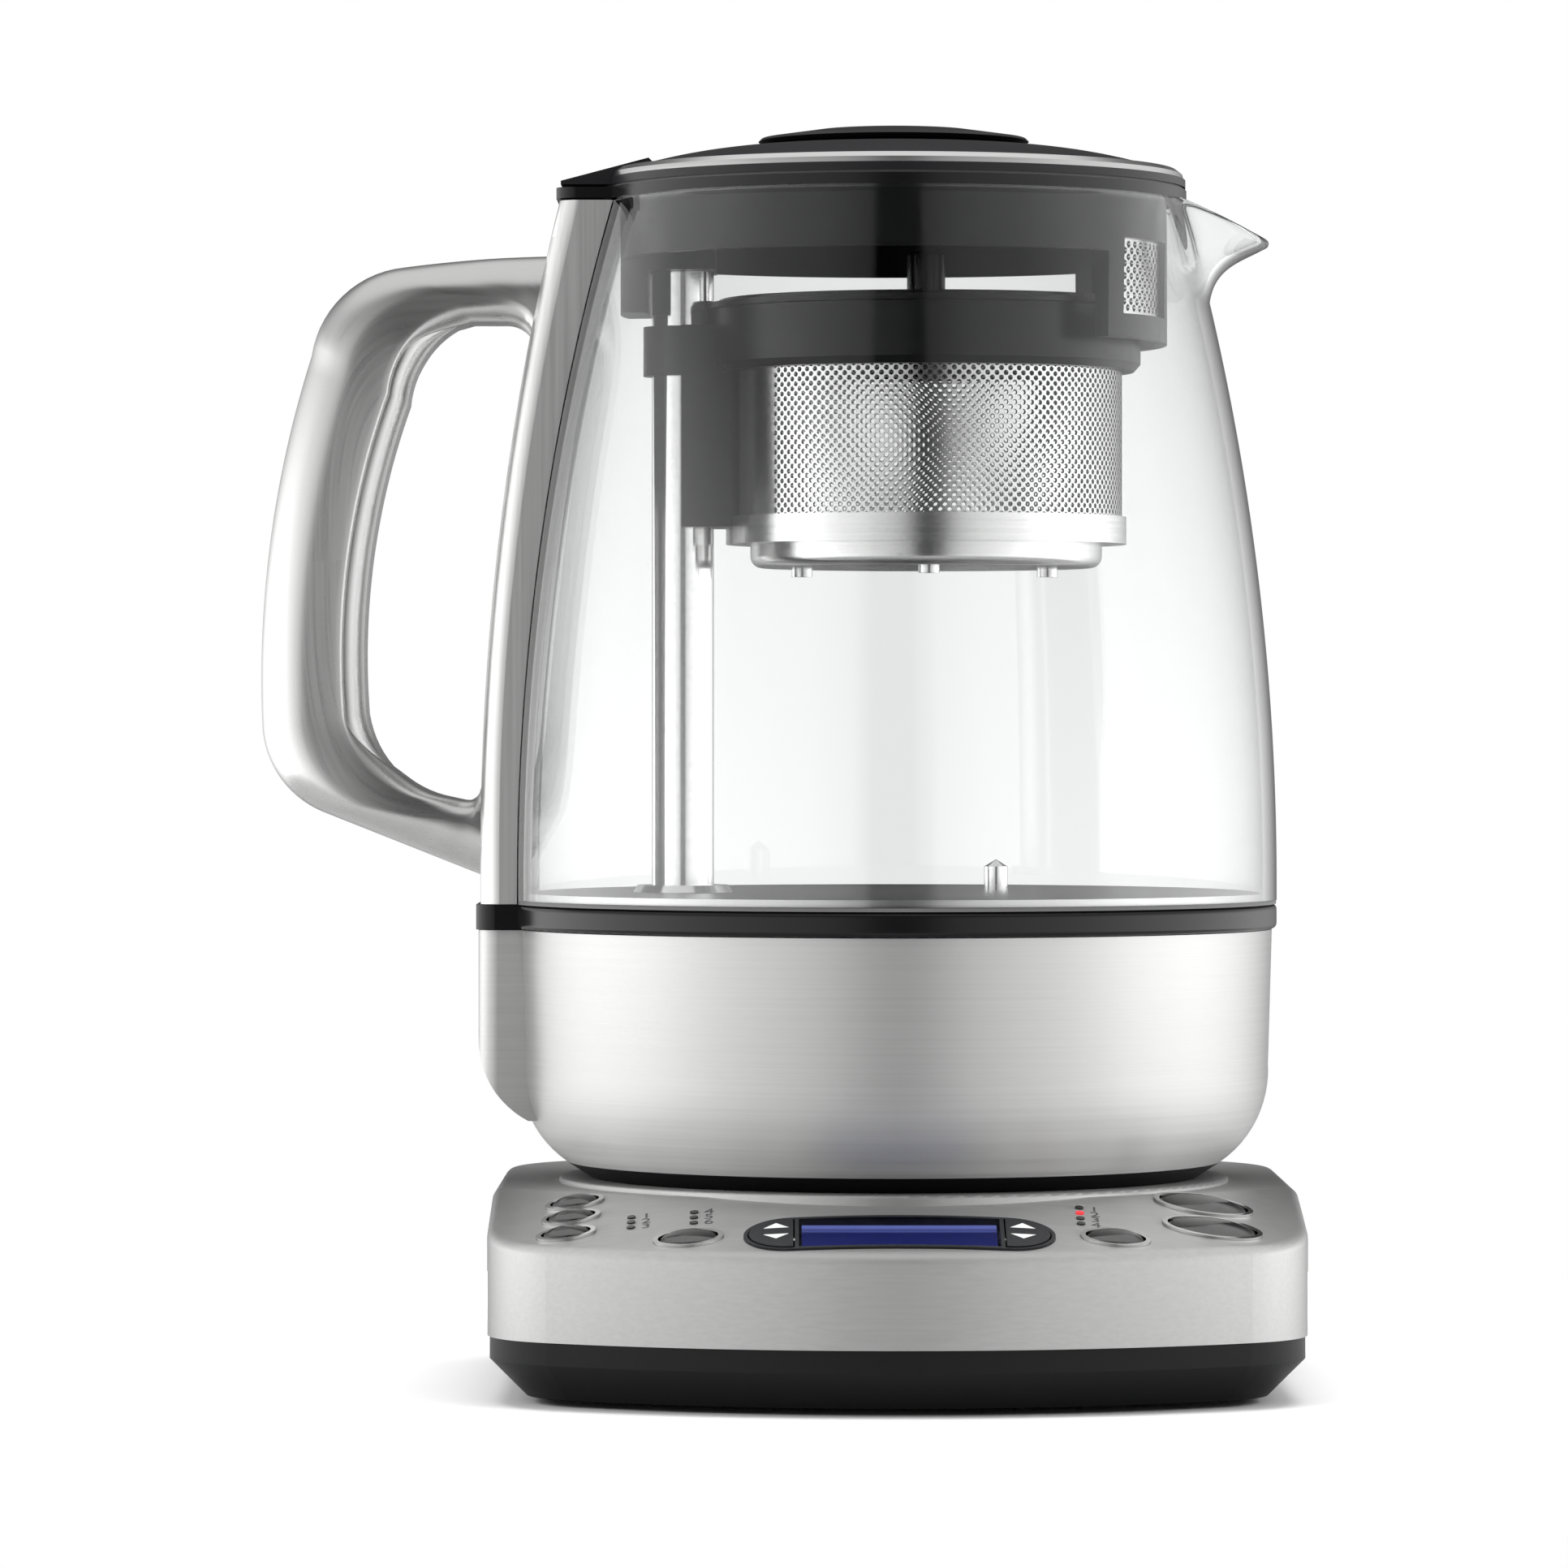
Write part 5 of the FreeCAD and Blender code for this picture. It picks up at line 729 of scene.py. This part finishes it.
def round_sheets(outside, thickness, bearing, height, axis=0.0):
    """Outer and inner sheet of points round an upright axis, from their bearings and heights."""
    return [np.stack([axis + radius * np.cos(bearing), radius * np.sin(bearing), height], 1)
            for radius in (outside, outside - thickness)]


class TEAMAKER_OT_basket_wall(bpy.types.Operator):
    """Perforated steel wall of the tea basket"""

    bl_idname = "tea_maker.basket_wall"
    bl_label = "Basket wall"

    def execute(self, context):
        size = settings().sizes
        lowest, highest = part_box("basket_mesh")
        columns = 2 * round(2 * math.pi * size.basket_radius / size.hole_pitch)
        half_pitch = 2 * math.pi * size.basket_radius / columns
        rows = int((highest.z - lowest.z) / MM / half_pitch)
        plain = math.radians(size.plain_half_angle)

        def holed(column):
            """The strip beside the carriage, about column 0, has no holes."""
            return np.minimum(column, columns - column) * 2 * math.pi / columns > plain

        where, faces = perforated_layer(columns, rows, size.hole_radius / half_pitch, holed, True)
        bearing = math.pi + where[:, 0] * 2 * math.pi / columns
        height = lowest.z / MM + where[:, 1] * half_pitch
        sheets = round_sheets(size.basket_radius, size.basket_wall, bearing, height,
                              size.basket_axis)
        points, faces = walled(*sheets, faces)
        new_piece("basket_wall", points, faces, "mesh_steel", "basket",
                  ("basket_mesh",))
        return {"FINISHED"}


FILTER_EDGES = np.array([13.0, 34.0])    # near and far edge of a window, beside the spout's middle


class TEAMAKER_OT_spout_filter(bpy.types.Operator):
    """Perforated filter in the two windows of the lid's skirt"""

    bl_idname = "tea_maker.spout_filter"
    bl_label = "Spout filter"

    def execute(self, context):
        size = settings().sizes
        lowest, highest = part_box("spout_filter")
        near, far = np.arcsin(FILTER_EDGES / size.filter_radius)
        half_pitch = size.filter_pitch / 2
        columns = 2 * round((far - near) * size.filter_radius / size.filter_pitch)
        rows = 2 * round((highest.z - lowest.z) / MM / size.filter_pitch)
        where, faces = perforated_layer(columns, rows, size.filter_hole / half_pitch,
                                        lambda column: np.ones(column.shape, bool), False)
        height = lowest.z / MM + where[:, 1] / rows * (highest.z - lowest.z) / MM
        all_points, all_faces, count = [], [], 0
        for side in (-1, 1):
            bearing = side * (near + (far - near) * where[:, 0] / columns)
            sheets = round_sheets(size.filter_radius, size.filter_sheet, bearing, height)
            points, made = walled(*sheets, faces if side > 0 else faces[:, ::-1])
            all_points.append(points)
            all_faces.append(made + count)
            count += len(points)
        new_piece("filter_sheet", np.concatenate(all_points), np.concatenate(all_faces),
                  "mesh_steel", "jug_lid", ("spout_filter",))
        return {"FINISHED"}


# ---- handle


# handle lines: out from the column's foot, above it, and the radius of the arc that ends there
HANDLE_OUTER = ((-15.0, 135.0), (16.2, 132.7, 270.0), (35.6, 114.2, 21.7), (45.9, 36.0, 221.4),
                (33.3, 19.0, 20.6), (-1.0, 5.4))
HANDLE_INNER = ((-12.2, 121.0), (1.9, 121.0), (15.3, 104.0, 19.4), (24.0, 39.4, 155.0),
                (8.2, 22.4, 21.6), (-1.0, 20.4))
HANDLE_COUNTS = (20, 14, 26, 14, 20)
COLUMN_FOOT = np.array([-86.0, 99.7])
# where an arm swells into the column: the column's face, the swell's radius and direction, points
ARM_SWELLS = ((-11.0, 6.0, -1.0, slice(0, 40)), (0.0, 4.0, 1.0, slice(-40, None)))
TAPER_POINTS = 9.0       # points over which the inner strip tapers off at either end
GRIP_ROUND = 9.0         # corner radius on the grip's outer side
ARM_ROUND, SEAM_ROUND_LOSS = 5.0, 4.3    # inner corner radius of the arms, and its loss at the seam
GRIP_CROWN = 0.55        # millimetres that the flanks fall off towards their edges
# inner strip: how far its ends are sunk and narrowed, its overlap with the grip, corner radii
STRIP_SUNK, STRIP_NARROWED, STRIP_OVERLAP = 0.5, 3.0, 1.5
STRIP_FAR_ROUND, STRIP_NEAR_ROUND = 0.6, 4.0


class TEAMAKER_OT_handle(bpy.types.Operator):
    """Steel handle with its rounded grip, and the inner strip along the grip"""

    bl_idname = "tea_maker.handle"
    bl_label = "Handle"

    def execute(self, context):
        size = settings().sizes
        outer = right_turning_line(HANDLE_OUTER, HANDLE_COUNTS)
        inner = right_turning_line(HANDLE_INNER, HANDLE_COUNTS)
        # an arm swells by a quarter circle's drop within its radius of the column
        for face, radius, sign, part in ARM_SWELLS:
            off = np.clip(inner[part, 0] - face, 0.0, radius)
            inner[part, 1] += sign * (radius - np.sqrt(radius ** 2 - (radius - off) ** 2))
        outer = COLUMN_FOOT + outer * (-1.0, 1.0)
        inner = COLUMN_FOOT + inner * (-1.0, 1.0)
        step = np.arange(len(outer))
        ends = np.cumsum((0,) + HANDLE_COUNTS)
        # taper is 1 along the grip and eases to 0 on the arms: 3 t squared - 2 t cubed
        taper = (np.clip((step - ends[1]) / TAPER_POINTS, 0.0, 1.0)
                 * np.clip((ends[3] + TAPER_POINTS - step) / TAPER_POINTS, 0.0, 1.0))
        taper = taper ** 2 * (3.0 - 2.0 * taper)
        toward = (outer - inner) / np.linalg.norm(outer - inner, axis=1)[:, None]
        seam = inner + size.liner_thick * taper[:, None] * toward
        grip = rounded_bar(outer, seam, size.handle_half, GRIP_ROUND,
                           ARM_ROUND - SEAM_ROUND_LOSS * taper, GRIP_CROWN)
        new_piece("handle_grip", grip.reshape(-1, 3), capped_faces(*grip.shape[:2]),
                  "handle_steel", "jug", ("handle_shell",))
        shown = taper > 0.0
        fading = 1.0 - taper[shown]
        strip = rounded_bar(seam[shown] + STRIP_OVERLAP * toward[shown],
                            inner[shown] + STRIP_SUNK * fading[:, None] * toward[shown],
                            size.liner_half - STRIP_NARROWED * fading,
                            STRIP_FAR_ROUND, STRIP_NEAR_ROUND)
        new_piece("grip_strip", strip.reshape(-1, 3), capped_faces(*strip.shape[:2]),
                  "handle_steel", "jug", ("handle_liner",))
        return {"FINISHED"}


# ---- panel


# buttons: side of the axis, in from the base's side, behind the bowed edge, half length, half depth
BUTTONS = {
    "auto_start_button": (-1, 17.6, 25.9, 4.8, 3.1),
    "keep_warm_button": (-1, 17.1, 17.4, 4.8, 3.1),
    "basket_button": (-1, 16.4, 8.2, 4.8, 3.1),
    "tea_type_button": (-1, 41.0, 7.9, 5.8, 3.9),
    "strength_button": (1, 40.0, 8.0, 5.8, 3.9),
    "hot_water_button": (1, 21.0, 25.0, 8.9, 5.4),
    "brew_button": (1, 20.0, 11.8, 8.9, 5.4),
}
DOME_SUNK = 0.4          # the dome's widest ring lies this far below the panel
DOME_RINGS, BUTTON_COLUMNS, DOME_START = 20, 56, 0.03
FOOT_CHAMFER, FOOT_SHARE = 0.2, 0.96     # height of the chamfer at a button's foot, share left


class TEAMAKER_OT_buttons(bpy.types.Operator):
    """Chromed push buttons with domed tops, their chrome darkened by painted shade"""

    bl_idname = "tea_maker.buttons"
    bl_label = "Buttons"

    def execute(self, context):
        size = settings().sizes
        # dome: half an ellipsoid, share of the radius squared + share of the height squared = 1
        bend = np.linspace(DOME_START, math.pi / 2, DOME_RINGS)
        share = np.concatenate([np.sin(bend), [1.0, FOOT_SHARE]])
        dome = (size.button_proud + DOME_SUNK) * np.cos(bend) - DOME_SUNK
        height = np.concatenate([dome, [FOOT_CHAMFER - size.button_depth, -size.button_depth]])
        around = np.linspace(0.0, 2 * math.pi, BUTTON_COLUMNS, endpoint=False)
        for name, (side, inset, setback, half_long, half_short) in BUTTONS.items():
            beside = side * (size.base_half_width - inset)
            ahead = math.sqrt((size.bow_radius - setback) ** 2 - beside ** 2) - size.bow_centre
            local = np.stack([half_long * share[:, None] * np.cos(around),
                              half_short * share[:, None] * np.sin(around),
                              np.repeat(height[:, None], len(around), 1)], 2)
            new_piece(name + "_cap", on_panel(local.reshape(-1, 3), beside, ahead),
                      capped_faces(len(share), len(around)), "button_chrome",
                      name, (name,), DOME_ANGLE)
        return {"FINISHED"}


# lamps: how far the first is ahead of the jug axis, and from one to the next
FIRST_LAMP, LAMP_PITCH = 66.0, 3.2
# rows of lamps: beside the jug axis, shift in lamps, and the numbers beside them
LAMP_ROWS = ((-53.6, 0.0, "123"), (-41.0, 0.45, "456"), (36.4, 0.0, "1234"))
NUMBER_GAP, NUMBER_TALL, PRINT_LIFT = 3.0, 3.0, 0.02
FONT_SHARE = 1.4         # font size for a number's height
# arrows: foot and tip uphill, half width, offset to the display, below and above the rocker's face
ARROWS = ((3.0, 5.9), (-0.7, -3.3))
ARROW_HALF, ARROW_OFFSET, ARROW_LAYERS = 2.5, 1.1, (-0.03, 0.05)


def number_outline(text):
    """A plain number as a thin solid about its own middle, in millimetres: points and faces."""
    curve = bpy.data.curves.new("number", "FONT")
    curve.body, curve.size, curve.extrude = text, NUMBER_TALL * FONT_SHARE, PRINT_LIFT
    curve.align_x, curve.align_y = "CENTER", "CENTER"
    curve.resolution_u = 3
    holder = bpy.data.objects.new("number", curve)
    mesh = bpy.data.meshes.new_from_object(holder)
    points = np.empty(len(mesh.vertices) * 3)
    mesh.vertices.foreach_get("co", points)
    faces = [list(polygon.vertices) for polygon in mesh.polygons]
    bpy.data.objects.remove(holder)
    bpy.data.meshes.remove(mesh)
    bpy.data.curves.remove(curve)
    return points.reshape(-1, 3), faces


class TEAMAKER_OT_print(bpy.types.Operator):
    """Numbers beside the lamps and arrows on the rockers"""

    bl_idname = "tea_maker.print"
    bl_label = "Panel print"

    def execute(self, context):
        size = settings().sizes
        points, faces, count = [], [], 0
        for beside, shift, numbers in LAMP_ROWS:
            for place, text in enumerate(numbers):
                outline, made = number_outline(text)
                ahead = FIRST_LAMP + LAMP_PITCH * (place + shift)
                points.append(on_panel(outline + (0.0, 0.0, PRINT_LIFT), beside + NUMBER_GAP,
                                       ahead))
                faces += [[corner + count for corner in face] for face in made]
                count += len(outline)
        new_piece("lamp_numbers", np.concatenate(points), faces, "print_grey",
                  "power_base", sharp_from=PRINT_ANGLE)
        for name, side in (("temperature_rocker", -1), ("time_rocker", 1)):
            points, faces = [], []
            for foot, tip in ARROWS:
                # a flat wedge of two triangles and three sides between them
                flat = [(-ARROW_HALF, foot), (ARROW_HALF, foot), (0.0, tip)]
                base = len(points)
                points += [(across - side * ARROW_OFFSET, up, size.rocker_proud + lift)
                           for lift in ARROW_LAYERS for across, up in flat]
                faces += [[base, base + 1, base + 2], [base + 5, base + 4, base + 3]]
                faces += [[base + (k + 1) % 3, base + k, base + 3 + k, base + 3 + (k + 1) % 3]
                          for k in range(3)]
            new_piece(name + "_arrows",
                      on_panel(points, side * size.rocker_beside, size.display_ahead), faces,
                      "print_white", name, sharp_from=PRINT_ANGLE)
        return {"FINISHED"}


# ---- stage


# reflected surroundings: degrees from straight ahead, and brightness there. A dark slot is ahead,
# and bright panels stand to the right and, mirrored, to the left
DARK_SLOT = ((-10.0, 0.9), (-7.0, 0.03), (9.5, 0.03), (12.5, 0.9))
SIDE_PANELS = ((27.0, 1.5), (53.0, 2.1), (78.0, 3.2), (106.0, 3.2), (125.0, 2.3), (150.0, 0.9),
               (165.0, 0.3))
BEHIND = (180.0, 0.12)
AHEAD_BEARING = 0.25     # -Y, where 0 is -X, 0.5 is +X and 0.75 is +Y
# upward part of a direction: the panels wane between two of them to a share, the ceiling sets in
WANING_FROM, WANING_TO, WANED = 0.02, 0.38, 0.28
CEILING_FROM, CEILING_TO = 0.58, 0.78
WHITE, BLACK = (1.0, 1.0, 1.0, 1.0), (0.0, 0.0, 0.0, 1.0)
FLOOR_TONE = (0.86, 0.86, 0.86, 1.0)
# within these radii the floor's glow is held back: a painted shadow round the object, on top of its
# cast shadow
SHADOW_FROM, SHADOW_TO = 0.12, 0.26      # the floor turns white between these radii, in metres


def after_bounces(tree):
    """Values that are 1 for light on its way from a reflection, and from a matt surface."""
    path = node(tree, "ShaderNodeLightPath").outputs
    return [arithmetic(tree, "GREATER_THAN", path[depth], 0.5)
            for depth in ("Glossy Depth", "Diffuse Depth")]


def grey(level):
    """Grey colour of a level."""
    return opaque((level,) * 3)


def studio_world(stage):
    """White where it is seen directly or through glass, a soft studio where it is reflected."""
    world = bpy.data.worlds.new("studio")
    world.use_nodes = True
    bpy.context.scene.world = world
    tree = world.node_tree
    tree.nodes.clear()
    glossy, diffuse = after_bounces(tree)
    sky = node(tree, "ShaderNodeTexCoord").outputs["Generated"]
    bearing = node(tree, "ShaderNodeTexGradient", {"Vector": sky},
                   gradient_type="RADIAL").outputs["Fac"]
    ramp = node(tree, "ShaderNodeValToRGB", {"Fac": bearing})
    turns = (*DARK_SLOT, *SIDE_PANELS, *((-turn, value) for turn, value in SIDE_PANELS), BEHIND)
    panels = sorted(((AHEAD_BEARING + turn / 360.0) % 1.0, value) for turn, value in turns)
    paint_ramp(ramp, [(position, [value] * 3) for position, value in panels])
    height = separated(tree, sky)["Z"]
    waning = remapped(tree, height, WANING_FROM, WANING_TO, 1.0, WANED)
    walls = mixed(tree, waning, BLACK, ramp.outputs["Color"])
    overhead = remapped(tree, height, CEILING_FROM, CEILING_TO, easing="SMOOTHSTEP")
    room = mixed(tree, overhead, walls, grey(stage.ceiling))
    seen = mixed(tree, glossy, WHITE, room)
    colour = mixed(tree, diffuse, seen, grey(stage.ambient))
    background = node(tree, "ShaderNodeBackground", {"Color": colour, "Strength": 1.0})
    node(tree, "ShaderNodeOutputWorld", {"Surface": background.outputs[0]})


def floor_finish(stage):
    """Pale floor: near white to the camera, with the object's cast shadow and round it a painted
    shadow where its glow is held back, and grey in reflections, a painted shade.
    """
    material = bpy.data.materials.new("pale_floor")
    material.use_nodes = True
    tree = material.node_tree
    tree.nodes.clear()
    glossy, diffuse = after_bounces(tree)
    hidden = arithmetic(tree, "MAXIMUM", glossy, diffuse)
    away = node(tree, "ShaderNodeVectorMath", {0: object_place(tree)}, operation="LENGTH")
    painted_shadow_fade = remapped(tree, away.outputs["Value"], SHADOW_FROM, SHADOW_TO, stage.floor_glow, 1.0,
                    "SMOOTHSTEP")
    lift = node(tree, "ShaderNodeMix", {0: hidden, 2: painted_shadow_fade, 3: 0.0}, data_type="FLOAT").outputs[0]
    tone = mixed(tree, glossy, FLOOR_TONE, grey(stage.floor_dark))
    pale = node(tree, "ShaderNodeBsdfDiffuse", {"Color": tone}).outputs[0]
    glow = node(tree, "ShaderNodeEmission", {"Strength": lift}).outputs[0]
    both = node(tree, "ShaderNodeAddShader", {0: pale, 1: glow}).outputs[0]
    node(tree, "ShaderNodeOutputMaterial", {"Surface": both})
    return material


# lamps: place in metres, width, height and watts; each is turned to the object's middle
SOFTBOXES = {
    "left_softbox": ((-1.1, -0.7, 0.9), 0.9, 1.1, 14.0),
    "right_softbox": ((1.1, -0.5, 0.9), 0.9, 1.1, 12.0),
    "top_softbox": ((0.0, 0.1, 1.5), 1.4, 1.4, 26.0),
}
OBJECT_MIDDLE = (0.0, 0.0, 0.12)
FLOOR_CORNERS = 96       # of the round floor
CLIP_NEAR, CLIP_FAR = 0.05, 30.0         # metres


def softbox(name, place, width, height, power):
    """Rectangular lamp that lights without being seen."""
    data = bpy.data.lights.new(name, "AREA")
    data.shape, data.size, data.size_y, data.energy = "RECTANGLE", width, height, power
    lamp = bpy.data.objects.new(name, data)
    bpy.context.scene.collection.objects.link(lamp)
    lamp.location = place
    across, ahead, up = np.subtract(OBJECT_MIDDLE, place)
    lamp.rotation_euler = (math.atan2(math.hypot(across, ahead), -up), 0.0,
                           math.atan2(ahead, across) - math.pi / 2)
    lamp.visible_glossy = False
    lamp.visible_transmission = False
    lamp.visible_camera = False


class TEAMAKER_OT_stage(bpy.types.Operator):
    """Floor, lamps, surroundings and camera"""

    bl_idname = "tea_maker.stage"
    bl_label = "Stage"

    def execute(self, context):
        stage = settings().stage
        scene = context.scene
        studio_world(stage)
        mesh = bpy.data.meshes.new("floor")
        turn = np.linspace(0.0, 2 * math.pi, FLOOR_CORNERS, endpoint=False)
        edge = stage.floor_radius * np.stack([np.cos(turn), np.sin(turn), np.zeros_like(turn)], 1)
        mesh.from_pydata(edge.tolist(), [], [tuple(range(len(edge)))])
        mesh.materials.append(floor_finish(stage))
        floor = bpy.data.objects.new("floor", mesh)
        scene.collection.objects.link(floor)
        for name, lamp in SOFTBOXES.items():
            softbox(name, *lamp)
        camera = bpy.data.objects.new("camera", bpy.data.cameras.new("camera"))
        scene.collection.objects.link(camera)
        scene.camera = camera
        camera.data.sensor_width = SENSOR_WIDTH
        camera.data.lens = stage.focal_pixels / IMAGE_SIDE * SENSOR_WIDTH
        # the camera looks level but for a tilt, and stands aside of the jug axis, to frame it
        middle = IMAGE_SIDE / 2
        aside = (middle - stage.axis_column) * stage.distance / stage.focal_pixels
        tilt = math.atan((middle - stage.horizon_row) / stage.focal_pixels)
        camera.location = (aside, -stage.distance, stage.eye_height)
        camera.rotation_euler = (math.pi / 2 - tilt, 0.0, 0.0)
        camera.data.clip_start, camera.data.clip_end = CLIP_NEAR, CLIP_FAR
        scene.view_settings.view_transform = "Standard"
        return {"FINISHED"}


# ---- add-on


STEPS = (TEAMAKER_OT_stage, TEAMAKER_OT_finishes, TEAMAKER_OT_glass, TEAMAKER_OT_basket_wall,
         TEAMAKER_OT_spout_filter, TEAMAKER_OT_handle, TEAMAKER_OT_buttons, TEAMAKER_OT_print)


class TEAMAKER_PT_sidebar(bpy.types.Panel):
    """Buttons for the pieces of the tea maker"""

    bl_idname = "TEAMAKER_PT_sidebar"
    bl_label = "Tea maker"
    bl_space_type = "VIEW_3D"
    bl_region_type = "UI"
    bl_category = "Tea maker"

    def draw(self, context):
        for step in STEPS:
            self.layout.operator(step.bl_idname)


CLASSES = (TeaMakerSizes, TeaMakerFinishes, TeaMakerStage, TeaMakerSettings, *STEPS,
           TEAMAKER_PT_sidebar)


def register():
    for made in CLASSES:
        bpy.utils.register_class(made)
    bpy.types.Scene.tea_maker = PointerProperty(type=TeaMakerSettings)


def unregister():
    del bpy.types.Scene.tea_maker
    for made in reversed(CLASSES):
        bpy.utils.unregister_class(made)


def main():
    """Make every piece in order."""
    register()
    for step in STEPS:
        family, call = step.bl_idname.split(".")
        getattr(getattr(bpy.ops, family), call)()
    bpy.context.view_layer.update()


if __name__ == "__main__":
    main()
